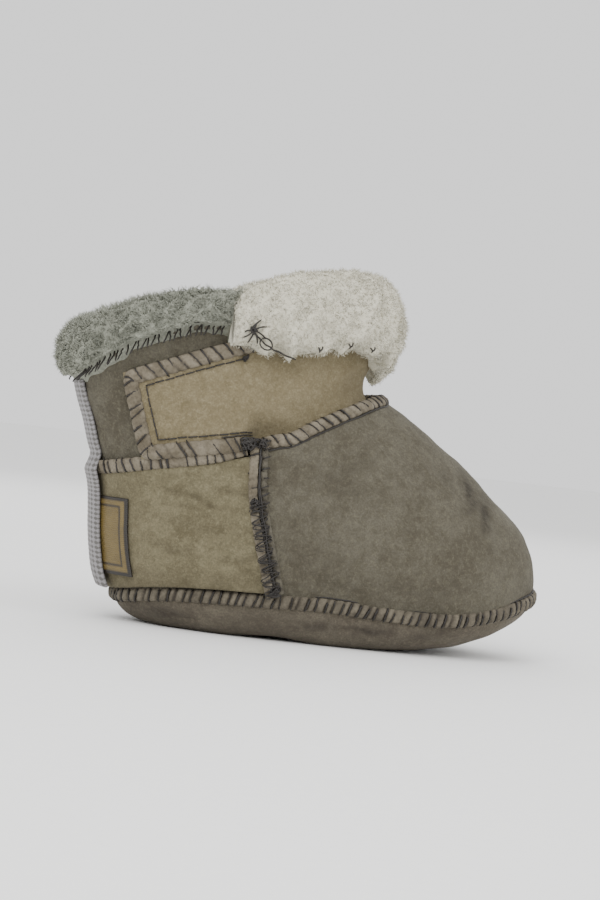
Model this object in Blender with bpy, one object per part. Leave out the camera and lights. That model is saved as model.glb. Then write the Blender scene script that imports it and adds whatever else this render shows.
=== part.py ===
"""A baby's sheepskin bootie, in the pieces that its maker sews together.

A soft suede sole turns up round the foot and meets one hollow suede upper at a raised seam.
A cream heel panel, a woven label and a woven tape lie on the back of the upper. A cream tongue
rises from inside the vamp and wraps round the ankle as two strap wings. Grey wool stands out of
the collar, and the tongue's cream wool is folded over its front.

Units are metres. +X points to the toe and +Z up, and the bootie is the same on both sides of Y = 0.
The origin lies on the floor under the middle of the heel.
"""

import functools
import math

import bmesh
import bpy
from mathutils import Vector

MM = 0.001

# Driving sizes of the foot
SOLE_LENGTH = 130 * MM
HEEL_REACH = 28 * MM  # from the origin back to the heel's fullest point
BALL_WIDTH = 66 * MM
HEEL_WIDTH = 50 * MM
INSTEP_HEIGHT = 72 * MM  # from the floor to the vamp's top edge at the front
SEAM_HEIGHT = 11 * MM  # from the floor to the sole seam beside the ball

# Driving sizes of the ankle
ANKLE_FRONT = 44.5 * MM  # from the origin forward to the tongue's face
ANKLE_BACK = 43.5 * MM  # from the origin back to the collar
SHAFT_WIDTH = 46 * MM
COLLAR_RISE = INSTEP_HEIGHT * 2 / 9  # how far the collar climbs from the back to the sides
BACK_HEIGHT = INSTEP_HEIGHT * 17 / 18  # from the floor to the collar's stitched edge at the back
SHAFT_EDGE = -2 * MM  # from the origin forward to the shaft's front edge

# Thicknesses and clearances
WALL = 2.2 * MM  # suede with the root of its wool
STRAP_THICKNESS = 1.8 * MM
PANEL_THICKNESS = 1.2 * MM
LABEL_THICKNESS = 0.6 * MM
TAPE_THICKNESS = 0.8 * MM
INSOLE_THICKNESS = 4 * MM
GAP = 0.3 * MM  # between small pieces that lie on each other
SHEET_GAP = 0.5 * MM  # between large curved sheets

# Raised sewn edges
SEAM_PROUD = 1.7 * MM  # the pinched sole seam stands out this far
SEAM_HALF = 2.2 * MM  # height of each of its two lips
SIDE_SEAM_PROUD = 1.9 * MM  # the vamp's rear edge, beside the heel panel
EDGE_PROUD = 1.0 * MM  # an overcast edge is this much thicker than its sheet
EDGE_WIDTH = 2.8 * MM
SLOPE = 0.8 * MM  # a raised edge falls to its sheet over this distance
EDGE_STEPS = (0.0, SLOPE / 2, EDGE_WIDTH, EDGE_WIDTH + SLOPE)  # columns across an overcast edge
SLOT_WIDTH = 0.1 * MM  # between the vamp's rear edge and the shaft behind it

# Sole
FLOOR_ARCH = 1 * MM  # lift of the waist between the two flat spots
HEEL_ROLL = 17 * MM  # from the fullest heel to the heel's flat spot
TOE_ROLL = 42 * MM  # from the toe to the forefoot's flat spot: the toe spring
SIDE_ROLL = 10 * MM
ROLL_POWER = 1.8  # 2 is a round bilge, 1 a straight chamfer
ROLL_END = 0.97  # the last roll whose slope still shows which way the side faces
ARCH_PLACE = 0.45  # middle of the waist, from the heel's flat spot (0) to the forefoot's (1)
ARCH_REACH = 0.22  # half its length, as a share of the sole's flat length
SOLE_STEPS = 38  # columns round the sole
SPINE_PULL = 0.35  # how much less the flat middle shrinks in length than in width

# Heel tape and label
TAPE_WIDTH = 17.5 * MM
TAPE_BOTTOM = 11 * MM
LABEL_BOTTOM = 14.2 * MM
LABEL_HEIGHT = 21 * MM
LABEL_LENGTH = 36 * MM  # round the heel
LABEL_UNDER = PANEL_THICKNESS + 2 * SHEET_GAP  # its inner face, out from the upper
TAPE_UNDER = LABEL_UNDER + LABEL_THICKNESS + SHEET_GAP
TAPE_EASE = 5 * MM  # height in which the tape comes in from the panel to the shaft

# Wool
COLLAR_WOOL_HEIGHT = 14 * MM
COLLAR_WOOL_FLARE = 6.5 * MM
CUFF_HEIGHT = 18.5 * MM
CUFF_FLARE = 10 * MM
WOOL_DEPTH = 10 * MM  # pile inside the wall
LOCK_DEPTH = 1.1 * MM
LOCK_LENGTH = 9 * MM

TOE_SQUARENESS = 2.2  # power of a level section's front half: 2 is an ellipse
HEEL_SQUARENESS = 2.8  # and of its back half

# Level sections of the foot, from the sole up. Height is a share of INSTEP_HEIGHT, back runs from
# HEEL_REACH (0) to ANKLE_BACK (1), front from ANKLE_FRONT (0) to the toe (1), foot from the shaft's
# width (0) to the foot's widths (1), and heel and ball swell those widths.
# height, back, front, foot, heel, ball
SECTIONS = (
    (0.10, -0.40, 0.930, 1.00, 0.88, 0.93),
    (0.19, -0.19, 0.972, 1.00, 0.95, 0.99),
    (0.28, -0.09, 0.984, 1.00, 0.99, 1.03),
    (0.36, -0.03, 0.976, 1.00, 1.00, 1.04),
    (0.44, 0.01, 0.948, 1.00, 1.00, 1.02),
    (0.53, 0.07, 0.878, 0.97, 0.99, 0.98),
    (0.61, 0.19, 0.775, 0.90, 0.98, 0.94),
    (0.69, 0.35, 0.650, 0.76, 0.97, 0.91),
    (0.78, 0.49, 0.503, 0.57, 0.97, 0.90),
    (0.86, 0.64, 0.358, 0.38, 0.98, 0.92),
    (0.94, 0.76, 0.193, 0.20, 0.99, 0.95),
    (1.00, 0.83, 0.072, 0.09, 1.00, 0.98),
    (1.06, 0.90, 0.014, 0.03, 1.00, 1.00),
    (1.12, 0.96, 0.000, 0.00, 1.00, 1.00),
    (1.25, 1.06, 0.000, 0.00, 1.00, 1.00),
)
BACK, FRONT, FOOT, HEEL, BALL = range(1, 6)
BALL_FULLNESS = 1.13  # the ball column's half width against half of BALL_WIDTH

# Sole seam: distance from heel (0) to toe (1), height as a share of SEAM_HEIGHT
SEAM_LINE = (
    (0.00, 0.66),
    (0.06, 0.80),
    (0.17, 0.95),
    (0.35, 1.04),
    (0.47, 1.08),
    (0.60, 1.01),
    (0.75, 1.00),
    (0.85, 1.20),
    (0.93, 1.48),
    (1.00, 1.76),
)
# Lines that cross Y = 0 have one row beyond it, so that they cross it level
# Collar edge: turn from the back (0) to the shaft's front edge (1), share of COLLAR_RISE
COLLAR_LINE = (
    (-0.27, 0.08),
    (0.00, 0.00),
    (0.27, 0.08),
    (0.49, 0.36),
    (0.66, 0.63),
    (0.80, 0.84),
    (0.92, 1.02),
    (1.00, 1.08),
)
# Vamp edge: turn from its rear corner (0) to the front centre (1), share of INSTEP_HEIGHT
VAMP_LINE = (
    (0.00, 0.771),
    (0.04, 0.802),
    (0.14, 0.864),
    (0.34, 0.933),
    (0.55, 0.977),
    (0.78, 0.998),
    (1.00, 1.000),
    (1.22, 0.998),
)
# Heel panel's top edge: turn from the back (0) to its front corner (1), share of INSTEP_HEIGHT
PANEL_LINE = (
    (-0.30, 0.592),
    (0.00, 0.580),
    (0.30, 0.592),
    (0.63, 0.629),
    (0.87, 0.669),
    (1.00, 0.712),
)
# Side seam between heel panel and vamp: height as a share of INSTEP_HEIGHT, distance forward of
# the origin as a share of ANKLE_FRONT
SIDE_SEAM = ((0.16, 0.447), (0.36, 0.333), (0.55, 0.252), (0.74, 0.232))
# Strap wing, from its free end (0) to the vamp's corner (1): lower and upper edge, each as
# distance forward of the origin as a share of ANKLE_FRONT and height as a share of INSTEP_HEIGHT
# place, low forward, low height, high forward, high height
WING = (
    (0.00, -0.460, 0.650, -0.645, 0.972),
    (0.30, -0.225, 0.678, -0.390, 1.036),
    (0.62, 0.005, 0.706, -0.115, 1.106),
    (0.82, 0.130, 0.722, 0.060, 1.148),
    (1.00, 0.225, 0.735, 0.225, 1.190),
)
LOW_FORWARD, LOW_HEIGHT, HIGH_FORWARD, HIGH_HEIGHT = range(1, 5)
TONGUE_TOP = 1.228  # its top edge at the front, as a share of INSTEP_HEIGHT
TUCK_DEPTH = 8 * MM  # how far the tongue reaches down inside the vamp
TONGUE_TURN = 4.6 * MM  # forward of the origin, where it leaves the shaft's outside
TONGUE_SHIFT = 4 * MM  # distance in which it then comes inside the vamp
TONGUE_SPREAD = 6  # that distance grows with height, by this many times INSTEP_HEIGHT
BEAD_FADE = 3 * MM  # distance in which its overcast edge ends
TONGUE_EASE = 8 * MM  # height in which it comes forward again above the vamp

# Folded wool cuff, turn from its end (0) to the front centre (1): how far its flap hangs below the
# tongue's top edge and how high it stands, as shares of CUFF_HEIGHT, and share of CUFF_FLARE
# place, hang, height, flare
CUFF = (
    (0.00, 0.16, 0.80, 0.62),
    (0.12, 0.34, 0.92, 0.76),
    (0.30, 0.36, 1.00, 0.86),
    (0.55, 0.26, 1.03, 0.90),
    (0.80, 0.44, 1.03, 1.00),
    (1.00, 0.56, 1.02, 1.00),
    (1.20, 0.44, 1.03, 1.00),
)
CUFF_START = 0.5 * MM  # forward of the origin
COLLAR_END = 0.97  # share of the collar's edge that carries wool
# Its section round the tongue's top edge. Out is a share of the flare, up of the height and hang
# of the flap's hang, and loose points swell into locks.
# out, up, hang, loose
CUFF_PROFILE = (
    (0.36, -0.04, 1.00, 1),
    (0.76, 0.00, 0.84, 1),
    (1.00, 0.05, 0.38, 1),
    (1.04, 0.27, 0.00, 1),
    (0.90, 0.56, 0.00, 1),
    (0.56, 0.83, 0.00, 1),
    (0.10, 0.98, 0.00, 1),
    (-0.40, 1.00, 0.00, 1),
    (-0.84, 0.87, 0.00, 1),
    (-1.06, 0.58, 0.00, 1),
    (-1.06, 0.20, 0.00, 1),
    (-0.94, -0.10, 0.00, 1),
    (-0.62, -0.27, 0.00, 1),
)
# Collar wool, turn from its front end (0) to the back (1)
# place, hang, height, flare
COLLAR = (
    (0.00, 0.00, 0.86, 0.55),
    (0.20, 0.00, 0.95, 0.80),
    (0.60, 0.02, 1.20, 1.00),
    (1.00, 0.12, 1.32, 1.12),
    (1.40, 0.02, 1.20, 1.00),
)
COLLAR_PROFILE = (
    (0.62, -0.04, 1.00, 1),
    (1.00, 0.10, 0.70, 1),
    (1.12, 0.36, 0.20, 1),
    (0.94, 0.66, 0.00, 1),
    (0.52, 0.90, 0.00, 1),
    (-0.10, 1.00, 0.00, 1),
    (-0.82, 0.94, 0.00, 1),
    (-1.38, 0.66, 0.00, 1),
    (-1.60, 0.22, 0.00, 1),
    (-1.56, -0.28, 0.00, 1),
    (-1.24, -0.64, 0.00, 1),
    (-0.80, -0.72, 0.00, 1),
)
WOOL_END = 8 * MM  # a roll of wool rounds off over this distance at its end
WOOL_END_FLARE = 0.45  # share of its flare and height that is left there
WOOL_END_HEIGHT = 0.30

SLOT_FLOOR = 0.690  # where vamp and shaft part above the side seam, share of INSTEP_HEIGHT
CUFF_GROOVE = 0.27  # depth of the cuff's inner side, as a share of CUFF_HEIGHT
FRONT_EASE = 0.40  # share of the tongue's front in which its top and bottom edge level out
CORNER_EASE = 0.25  # and in which its bottom edge leaves the vamp's corner

SIDE_COLUMNS = 14  # columns of a sheet from the front centre, or the back, to the side seam
TURN_STEP = 0.01  # radians, and height, over which a surface's slope is measured
HEIGHT_STEP = 0.4 * MM


def lerp(a, b, t):
    return a + (b - a) * t


def smooth(t):
    t = min(max(t, 0.0), 1.0)
    return t * t * (3 - 2 * t)


def read(table, at, column=1):
    """The table's value at this place in its first column, on a smooth curve through its rows."""
    k = 0
    while k < len(table) - 2 and at > table[k + 1][0]:
        k += 1
    x0, y0 = table[k][0], table[k][column]
    x1, y1 = table[k + 1][0], table[k + 1][column]
    start = end = (y1 - y0) / (x1 - x0)
    if k > 0:
        start = (y1 - table[k - 1][column]) / (x1 - table[k - 1][0])
    if k < len(table) - 2:
        end = (table[k + 2][column] - y0) / (table[k + 2][0] - x0)
    if at < x0:
        return y0 + start * (at - x0)
    if at > x1:
        return y1 + end * (at - x1)
    width = x1 - x0
    t = (at - x0) / width
    return (
        y0 * (1 + 2 * t) * (1 - t) ** 2
        + start * width * t * (1 - t) ** 2
        + y1 * t * t * (3 - 2 * t)
        + end * width * t * t * (t - 1)
    )


def bent(value, power):
    """The value to that power, with its sign kept."""
    return math.copysign(abs(value) ** power, value)


# The last: every piece is placed by its turn round the foot and its height


@functools.lru_cache(maxsize=None)
def section(height):
    """Back, front, heel half width and ball half width of the level section there."""
    at = height / INSTEP_HEIGHT
    foot = read(SECTIONS, at, FOOT)
    back = -lerp(HEEL_REACH, ANKLE_BACK, read(SECTIONS, at, BACK))
    front = lerp(ANKLE_FRONT, SOLE_LENGTH - HEEL_REACH, read(SECTIONS, at, FRONT))
    heel = lerp(SHAFT_WIDTH, HEEL_WIDTH, foot) / 2 * read(SECTIONS, at, HEEL)
    ball = lerp(SHAFT_WIDTH, BALL_WIDTH * BALL_FULLNESS, foot) / 2 * read(SECTIONS, at, BALL)
    return back, front, heel, ball


def squareness(along):
    return TOE_SQUARENESS if along > 0 else HEEL_SQUARENESS


def level_point(turn, back, front, heel, ball):
    """A point of a level section: turn is 0 at the front centre, pi at the back, negative at -Y."""
    power = 2 / squareness(math.cos(turn))
    along = bent(math.cos(turn), power)
    half_width = lerp(heel, ball, (1 + math.cos(turn)) / 2)
    return lerp(back, front, (1 + along) / 2), half_width * bent(math.sin(turn), power)


def last(turn, height):
    return Vector((*level_point(turn, *section(height)), height))


def normal_of(surface, u, v):
    """The unit normal of surface(u, v), where u is a turn and v a height or a roll."""
    across = surface(u + TURN_STEP, v) - surface(u - TURN_STEP, v)
    return across.cross(surface(u, v + HEIGHT_STEP) - surface(u, v - HEIGHT_STEP)).normalized()


def skin(turn, height, proud):
    """A point that far out from the last's surface."""
    return last(turn, height) + normal_of(last, turn, height) * proud


def ledge(turn, height, proud):
    """A point that far out from the last, on the level."""
    normal = normal_of(last, turn, height)
    return last(turn, height) + Vector((normal.x, normal.y, 0)).normalized() * proud


def place(turn):
    """How far from heel (0) to toe (1) this turn lies."""
    along = math.cos(turn)
    return (1 + bent(along, 2 / squareness(along))) / 2


def turn_at(forward, height):
    """The turn of the point that far forward of the origin, at this height, on the +Y side."""
    back, front, _, _ = section(height)
    along = 2 * (forward - back) / (front - back) - 1
    return math.acos(min(max(bent(along, squareness(along) / 2), -1.0), 1.0))


def turn_round_back(height, arc):
    """The turn that lies this far round the heel from its centre line."""
    step, gone, here = 0.01, 0.0, last(math.pi, height)
    for k in range(1, 250):
        there = last(math.pi - step * k, height)
        gone += (there - here).length
        if gone >= arc:
            return math.pi - step * (k - (gone - arc) / (there - here).length)
        here = there
    return math.pi / 2


def seam_height(turn):
    return SEAM_HEIGHT * read(SEAM_LINE, place(turn))


def side_seam(height):
    """How far forward of the origin the side seam lies."""
    return ANKLE_FRONT * read(SIDE_SEAM, height / INSTEP_HEIGHT)


def side_seam_turn(height):
    return turn_at(side_seam(height), height)


def collar_height(share):
    return BACK_HEIGHT + COLLAR_RISE * read(COLLAR_LINE, share)


def vamp_height(share):
    return INSTEP_HEIGHT * read(VAMP_LINE, share)


def panel_height(share):
    return INSTEP_HEIGHT * read(PANEL_LINE, share)


def edge_rise(distance):
    """Share of its full thickness that an overcast edge has this far in from the cut."""
    if distance < 0:
        return 0.0
    if distance <= EDGE_WIDTH:
        return min(1.0, 0.5 + distance / SLOPE)
    return max(0.0, 1 - (distance - EDGE_WIDTH) / SLOPE)


# Making the solids


def finish_of(name, colour, roughness):
    material = bpy.data.materials.new(name)
    material.use_nodes = True
    shader = material.node_tree.nodes["Principled BSDF"]
    shader.inputs["Base Color"].default_value = (*colour, 1)
    shader.inputs["Roughness"].default_value = roughness
    shader.inputs["Metallic"].default_value = 0
    material.diffuse_color = (*colour, 1)
    return material


def new_object(name, bm, material):
    bmesh.ops.recalc_face_normals(bm, faces=bm.faces)
    mesh = bpy.data.meshes.new(name)
    bm.to_mesh(mesh)
    bm.free()
    mesh.shade_smooth()
    mesh.set_sharp_from_angle(angle=math.radians(50))
    mesh.materials.append(material)
    obj = bpy.data.objects.new(name, mesh)
    bpy.context.scene.collection.objects.link(obj)
    return obj


def sheet_solid(name, faces, outer, inner, material):
    """A closed solid from a sheet's faces, given its outer and inner points by the same keys."""
    bm = bmesh.new()
    out_vert = {key: bm.verts.new(point) for key, point in outer.items()}
    in_vert = {key: bm.verts.new(inner[key]) for key in outer}
    edges = set()
    for face in faces:
        bm.faces.new([out_vert[key] for key in face])
        bm.faces.new([in_vert[key] for key in reversed(face)])
        edges.update(zip(face, face[1:] + face[:1]))
    for a, b in edges:
        if (b, a) not in edges:
            bm.faces.new((out_vert[b], out_vert[a], in_vert[a], in_vert[b]))
    return new_object(name, bm, material)


def grid_faces(columns, rows, closed=False):
    """Quads of a grid whose keys are (column, row)."""
    return [
        ((i, j), ((i + 1) % columns, j), ((i + 1) % columns, j + 1), (i, j + 1))
        for i in range(columns if closed else columns - 1)
        for j in range(rows - 1)
    ]


def ladder_faces(columns, row):
    """Rungs that close a mirrored ring across its long axis."""
    faces = [((0, row), (1, row), (columns - 1, row))]
    for i in range(1, columns // 2 - 1):
        faces.append(((i, row), (i + 1, row), (columns - i - 1, row), (columns - i, row)))
    half = columns // 2
    return faces + [((half - 1, row), (half, row), (half + 1, row))]


def mirror_ring(half):
    """The columns of the +Y side and then of the -Y side, once round from the first."""
    return [(1, column) for column in half] + [(-1, column) for column in reversed(half[1:-1])]


def mirror_strip(half):
    """The columns from the -Y side's end to the +Y side's end, where half starts on Y = 0."""
    return [(-1, column) for column in reversed(half[1:])] + [(1, column) for column in half]


def steps_between(low, high, from_low, from_high, steps):
    """Values at set distances from both ends, with even steps between them."""
    fit = min(1.0, 0.85 * (high - low) / (max(from_low) + max(from_high) + SLOPE))
    lows = [low + distance * fit for distance in from_low]
    highs = [high - distance * fit for distance in reversed(from_high)]
    middle = [lerp(lows[-1], highs[0], (k + 1) / (steps + 1)) for k in range(steps)]
    return lows + middle + highs


# Upper


def upper_columns():
    """One side of the upper, front to back: region, turn at a height, share of the region, and
    distance ahead of the side seam."""
    columns = []
    for k in range(SIDE_COLUMNS - 1):
        share = 1 - k / (SIDE_COLUMNS - 0.5)
        columns.append(("vamp", lambda z, f=share: side_seam_turn(z) * (1 - f), share, 1.0))
    for ahead in reversed(EDGE_STEPS):
        columns.append(("vamp", lambda z, d=ahead: turn_at(side_seam(z) + d, z), None, ahead))
    columns.append(("slot", lambda z: turn_at(side_seam(z) - SLOT_WIDTH, z), None, -1.0))
    for k in range(SIDE_COLUMNS):
        share = 1 - k / (SIDE_COLUMNS - 1)
        columns.append(
            ("shaft", lambda z, f=share: lerp(math.pi, turn_at(SHAFT_EDGE, z), f), share, -1.0)
        )
    return columns


def vamp_share(turn, height):
    """Where this turn meets the vamp's edge: 0 at its rear corner, 1 at the front centre."""
    return max(0.0, 1 - abs(turn) / side_seam_turn(height))


def make_upper(material):
    """Vamp, quarters and shaft in one hollow wall: open below, at the collar and at the throat."""
    slot_floor = SLOT_FLOOR * INSTEP_HEIGHT
    lip = (0.0, SEAM_HALF, SEAM_HALF + SLOPE)
    ring = mirror_ring(upper_columns())
    outer, inner = {}, {}
    for i, (side, (region, turn_of, share, ahead)) in enumerate(ring):
        base = seam_height(turn_of(seam_height(turn_of(SEAM_HEIGHT)))) + GAP / 2
        heights = steps_between(base, slot_floor, lip, (0.0,), 4)
        top = slot_floor
        if region == "shaft":
            top = collar_height(share)
        elif region == "vamp":
            corner = vamp_height(0)
            top = vamp_height(vamp_share(turn_of(corner), corner) if share is None else share)
        if region != "slot":
            heights += steps_between(slot_floor, top, (0.0,), EDGE_STEPS, 2)[1:]
        for j, height in enumerate(heights):
            turn = side * turn_of(height)
            if j < 3:
                outer[i, j] = ledge(turn, height, SEAM_PROUD if j < 2 else 0.0)
                inner[i, j] = ledge(turn, height, -WALL)
                continue
            proud = EDGE_PROUD * edge_rise(top - height) if j > 7 else 0.0
            if ahead < 1.0:
                proud = max(proud, SIDE_SEAM_PROUD * edge_rise(ahead))
            outer[i, j] = skin(turn, height, proud)
            inner[i, j] = skin(turn, height, -WALL)
    faces = [f for f in grid_faces(len(ring), 14, closed=True) if all(key in outer for key in f)]
    return sheet_solid("upper", faces, outer, inner, material)


# Sole and insole


def footprint():
    """The flat part of the sole, as a level section."""
    back, front, heel, ball = section(SEAM_HEIGHT)
    return (
        HEEL_ROLL - HEEL_REACH,
        SOLE_LENGTH - HEEL_REACH - TOE_ROLL,
        heel - SIDE_ROLL,
        ball - SIDE_ROLL,
    )


def arch(forward):
    """Lift of the waist, between the heel's flat spot and the forefoot's."""
    middle = lerp(HEEL_ROLL - HEEL_REACH, SOLE_LENGTH - HEEL_REACH - TOE_ROLL, ARCH_PLACE)
    reach = ARCH_REACH * (SOLE_LENGTH - HEEL_ROLL - TOE_ROLL)
    return FLOOR_ARCH * smooth(1 - abs(forward - middle) / reach)


def roll_point(turn, roll):
    """The sole's outer side: roll is 0 at the seam and 1 where it meets the floor."""
    turn_in = 2 / ROLL_POWER
    rim = last(turn, seam_height(turn))
    x, y = level_point(turn, *footprint())
    share = math.cos(roll * math.pi / 2) ** turn_in if roll < 1 else 0.0
    drop = max(0.0, math.sin(roll * math.pi / 2)) ** turn_in
    forward = lerp(x, rim.x, share)
    return Vector((forward, lerp(y, rim.y, share), rim.z * (1 - drop) + arch(forward) * drop))


def sole_layer(rolls, depth):
    """Points at this depth under the sole's outer side, over its rolls and its flat middle."""
    points = {}
    for i in range(SOLE_STEPS):
        turn = math.tau * i / SOLE_STEPS
        for j, roll in enumerate(rolls):
            into = normal_of(roll_point, turn, min(roll, ROLL_END))
            if roll == 1:
                into = Vector((0, 0, 1))
            points[i, j] = roll_point(turn, roll) + into * depth
        x, y = level_point(turn, *footprint())
        spine = lerp(*footprint()[:2], 0.5)
        for k, share in enumerate((0.7, 0.4)):
            forward = lerp(spine, x, 1 - (1 - share) * SPINE_PULL)
            points[i, len(rolls) + k] = Vector((forward, y * share, arch(forward) + depth))
    return points


def sole_faces(rolls):
    rows = len(rolls) + 2
    return grid_faces(SOLE_STEPS, rows, closed=True) + ladder_faces(SOLE_STEPS, rows - 1)


def roll_at_depth(turn, depth):
    """The roll at which the sole's side lies this far below the seam."""
    share = min(0.6, depth / seam_height(turn))
    return math.asin(share ** (ROLL_POWER / 2)) / (math.pi / 2)


def make_sole(material):
    """A soft dish of suede: flat under heel and forefoot, rolled up to the seam all round."""
    outer, inner = {}, {}
    rolls = (0.0, 0.0, 0.0, 0.50, 0.64, 0.82, 1.0)
    flat = sole_layer(rolls, 0.0), sole_layer(rolls, WALL)
    for key in flat[0]:
        outer[key], inner[key] = flat[0][key], flat[1][key]
    for i in range(SOLE_STEPS):
        turn = math.tau * i / SOLE_STEPS
        for j, (depth, proud) in enumerate(
            ((GAP / 2, SEAM_PROUD), (SEAM_HALF, SEAM_PROUD), (SEAM_HALF + SLOPE, 0.0))
        ):
            roll = roll_at_depth(turn, depth)
            into = normal_of(roll_point, turn, max(roll, 0.1))
            level = Vector((into.x, into.y, 0)).normalized()
            point = roll_point(turn, roll)
            outer[i, j] = point - level * proud
            inner[i, j] = point + level * WALL
    return sheet_solid("sole", sole_faces(rolls), outer, inner, material)


def make_insole(material):
    """The wool footbed that lies in the sole."""
    rolls = (0.60, 0.80, 1.0)
    under = sole_layer(rolls, WALL + GAP)
    over = sole_layer(rolls, WALL + GAP + INSOLE_THICKNESS)
    return sheet_solid("insole", sole_faces(rolls), under, over, material)


# Heel panel, label and tape


def make_heel_panel(material):
    """Cream suede round the heel, from the sole seam to under the strap, with overcast edges."""
    half = [(k / 11, None) for k in range(11)]
    half += [(None, distance) for distance in reversed(EDGE_STEPS)]
    outer, inner = {}, {}
    strip = mirror_strip(half)

    def turn_of(share, distance, height):
        front = turn_at(side_seam(height) - SLOPE / 2 - (distance or 0.0), height)
        inset = turn_at(side_seam(height) - 2 * EDGE_WIDTH, height)
        return front if share is None else lerp(math.pi, inset, share)

    for i, (side, (share, distance)) in enumerate(strip):
        base = seam_height(turn_of(share, distance, SEAM_HEIGHT)) + SEAM_HALF + SLOPE + GAP
        middle = panel_height(0.7)
        reach = (math.pi - turn_of(share, distance, middle)) / (math.pi - side_seam_turn(middle))
        top = panel_height(min(reach, 1.0))
        for j, height in enumerate(steps_between(base, top, (0.0,), EDGE_STEPS, 4)):
            rise = max(edge_rise(top - height), edge_rise(distance) if share is None else 0.0)
            turn = side * turn_of(share, distance, height)
            outer[i, j] = skin(turn, height, SHEET_GAP + PANEL_THICKNESS + EDGE_PROUD * rise)
            inner[i, j] = skin(turn, height, SHEET_GAP)
    return sheet_solid("heel_panel", grid_faces(len(strip), 9), outer, inner, material)


def make_label(material):
    """A woven patch round the heel, under the tape."""
    columns, rows = 15, 4
    outer, inner = {}, {}
    for i in range(columns):
        arc = LABEL_LENGTH * (i / (columns - 1) - 0.5)
        for j in range(rows):
            height = LABEL_BOTTOM + LABEL_HEIGHT * j / (rows - 1)
            turn = math.copysign(turn_round_back(height, abs(arc)), arc)
            outer[i, j] = skin(turn, height, LABEL_UNDER + LABEL_THICKNESS)
            inner[i, j] = skin(turn, height, LABEL_UNDER)
    return sheet_solid("label", grid_faces(columns, rows), outer, inner, material)


def make_heel_tape(material):
    """Woven tape down the back seam, from the collar's edge over heel panel and label."""
    columns, steps = 5, 6
    step_off = panel_height(0) + SLOPE  # above the panel's thick edge it comes in to the shaft
    top = BACK_HEIGHT - EDGE_WIDTH - SLOPE - GAP
    low = [lerp(TAPE_BOTTOM, step_off, k / steps) for k in range(steps)]
    high = [lerp(step_off, top, k / steps) for k in range(steps + 1)]
    outer, inner = {}, {}
    for j, height in enumerate(low + high):
        under = lerp(TAPE_UNDER, GAP, smooth((height - step_off) / TAPE_EASE))
        for i in range(columns):
            arc = TAPE_WIDTH * (i / (columns - 1) - 0.5)
            turn = math.copysign(turn_round_back(height, abs(arc)), arc)
            outer[i, j] = skin(turn, height, under + TAPE_THICKNESS)
            inner[i, j] = skin(turn, height, under)
    return sheet_solid("heel_tape", grid_faces(columns, 2 * steps + 1), outer, inner, material)


# Tongue with its strap wings


def tongue_top(share):
    """Height of the tongue's top edge, from the vamp's corner (0) to the front centre (1)."""
    return INSTEP_HEIGHT * lerp(WING[-1][HIGH_HEIGHT], TONGUE_TOP, smooth(share / FRONT_EASE))


def tongue_proud(turn, height):
    """How far out the tongue's outer face lies: outside the shaft, inside the vamp."""
    outside = SHEET_GAP + STRAP_THICKNESS
    over_vamp = height - vamp_height(vamp_share(turn, height))
    inside = -(WALL + 2 * SHEET_GAP + GAP) * (1 - smooth((over_vamp - EDGE_PROUD - GAP) / TONGUE_EASE))
    rise = (height - WING[-1][LOW_HEIGHT] * INSTEP_HEIGHT) / INSTEP_HEIGHT
    shift = TONGUE_SHIFT * (1 + TONGUE_SPREAD * max(0.0, rise))
    forward = last(turn, height).x - TONGUE_TURN
    return lerp(outside, inside, smooth(forward / shift))


def wing_point(share, rise):
    """Distance forward and height of a point of the wing, in side view."""
    low = ANKLE_FRONT * read(WING, share, LOW_FORWARD), INSTEP_HEIGHT * read(WING, share, LOW_HEIGHT)
    high = ANKLE_FRONT * read(WING, share, HIGH_FORWARD), INSTEP_HEIGHT * read(WING, share, HIGH_HEIGHT)
    return lerp(low[0], high[0], rise), lerp(low[1], high[1], rise)


def make_tongue(material):
    """One cream sheet: tucked into the vamp, up to the cuff, and back round the shaft as wings."""
    front_columns, wing_columns = 9, 9
    wing_length = ANKLE_FRONT * (WING[-1][LOW_FORWARD] - WING[0][LOW_FORWARD])
    half = [("front", 1 - k / front_columns, 0.0) for k in range(front_columns)]
    inset = EDGE_STEPS[-1] / wing_length
    half += [("wing", lerp(1, inset, k / wing_columns), EDGE_WIDTH * 2) for k in range(wing_columns)]
    half += [("wing", distance / wing_length, distance) for distance in reversed(EDGE_STEPS)]
    outer, inner = {}, {}
    strip = mirror_strip(half)
    for i, (side, (region, share, distance)) in enumerate(strip):
        if region == "front":
            corner = INSTEP_HEIGHT * WING[-1][LOW_HEIGHT]
            low = lerp(corner, vamp_height(share), smooth(share / CORNER_EASE))
            low -= TUCK_DEPTH * smooth(share / FRONT_EASE)
            span = tongue_top(share) - low
        else:
            span = wing_point(share, 1)[1] - wing_point(share, 0)[1]
        for j, rise in enumerate(steps_between(0, span, EDGE_STEPS, EDGE_STEPS, 3)):
            if region == "front":
                height = low + rise
                turn = side_seam_corner_turn(height) * (1 - share)
                edge = 0.0
            else:
                forward, height = wing_point(share, rise / span)
                turn = turn_at(forward, height)
                below = smooth((TONGUE_TURN - forward) / BEAD_FADE) * edge_rise(rise)
                above = smooth((CUFF_START - forward) / BEAD_FADE) * edge_rise(span - rise)
                edge = max(edge_rise(distance), below, above)
            proud = tongue_proud(turn, height)
            outer[i, j] = skin(side * turn, height, proud + EDGE_PROUD * edge)
            inner[i, j] = skin(side * turn, height, proud - STRAP_THICKNESS)
    return sheet_solid("tongue", grid_faces(len(strip), 11), outer, inner, material)


def side_seam_corner_turn(height):
    """The turn above the vamp's corner, where the wing begins."""
    return turn_at(ANKLE_FRONT * WING[-1][LOW_FORWARD], height)


# Wool


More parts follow.
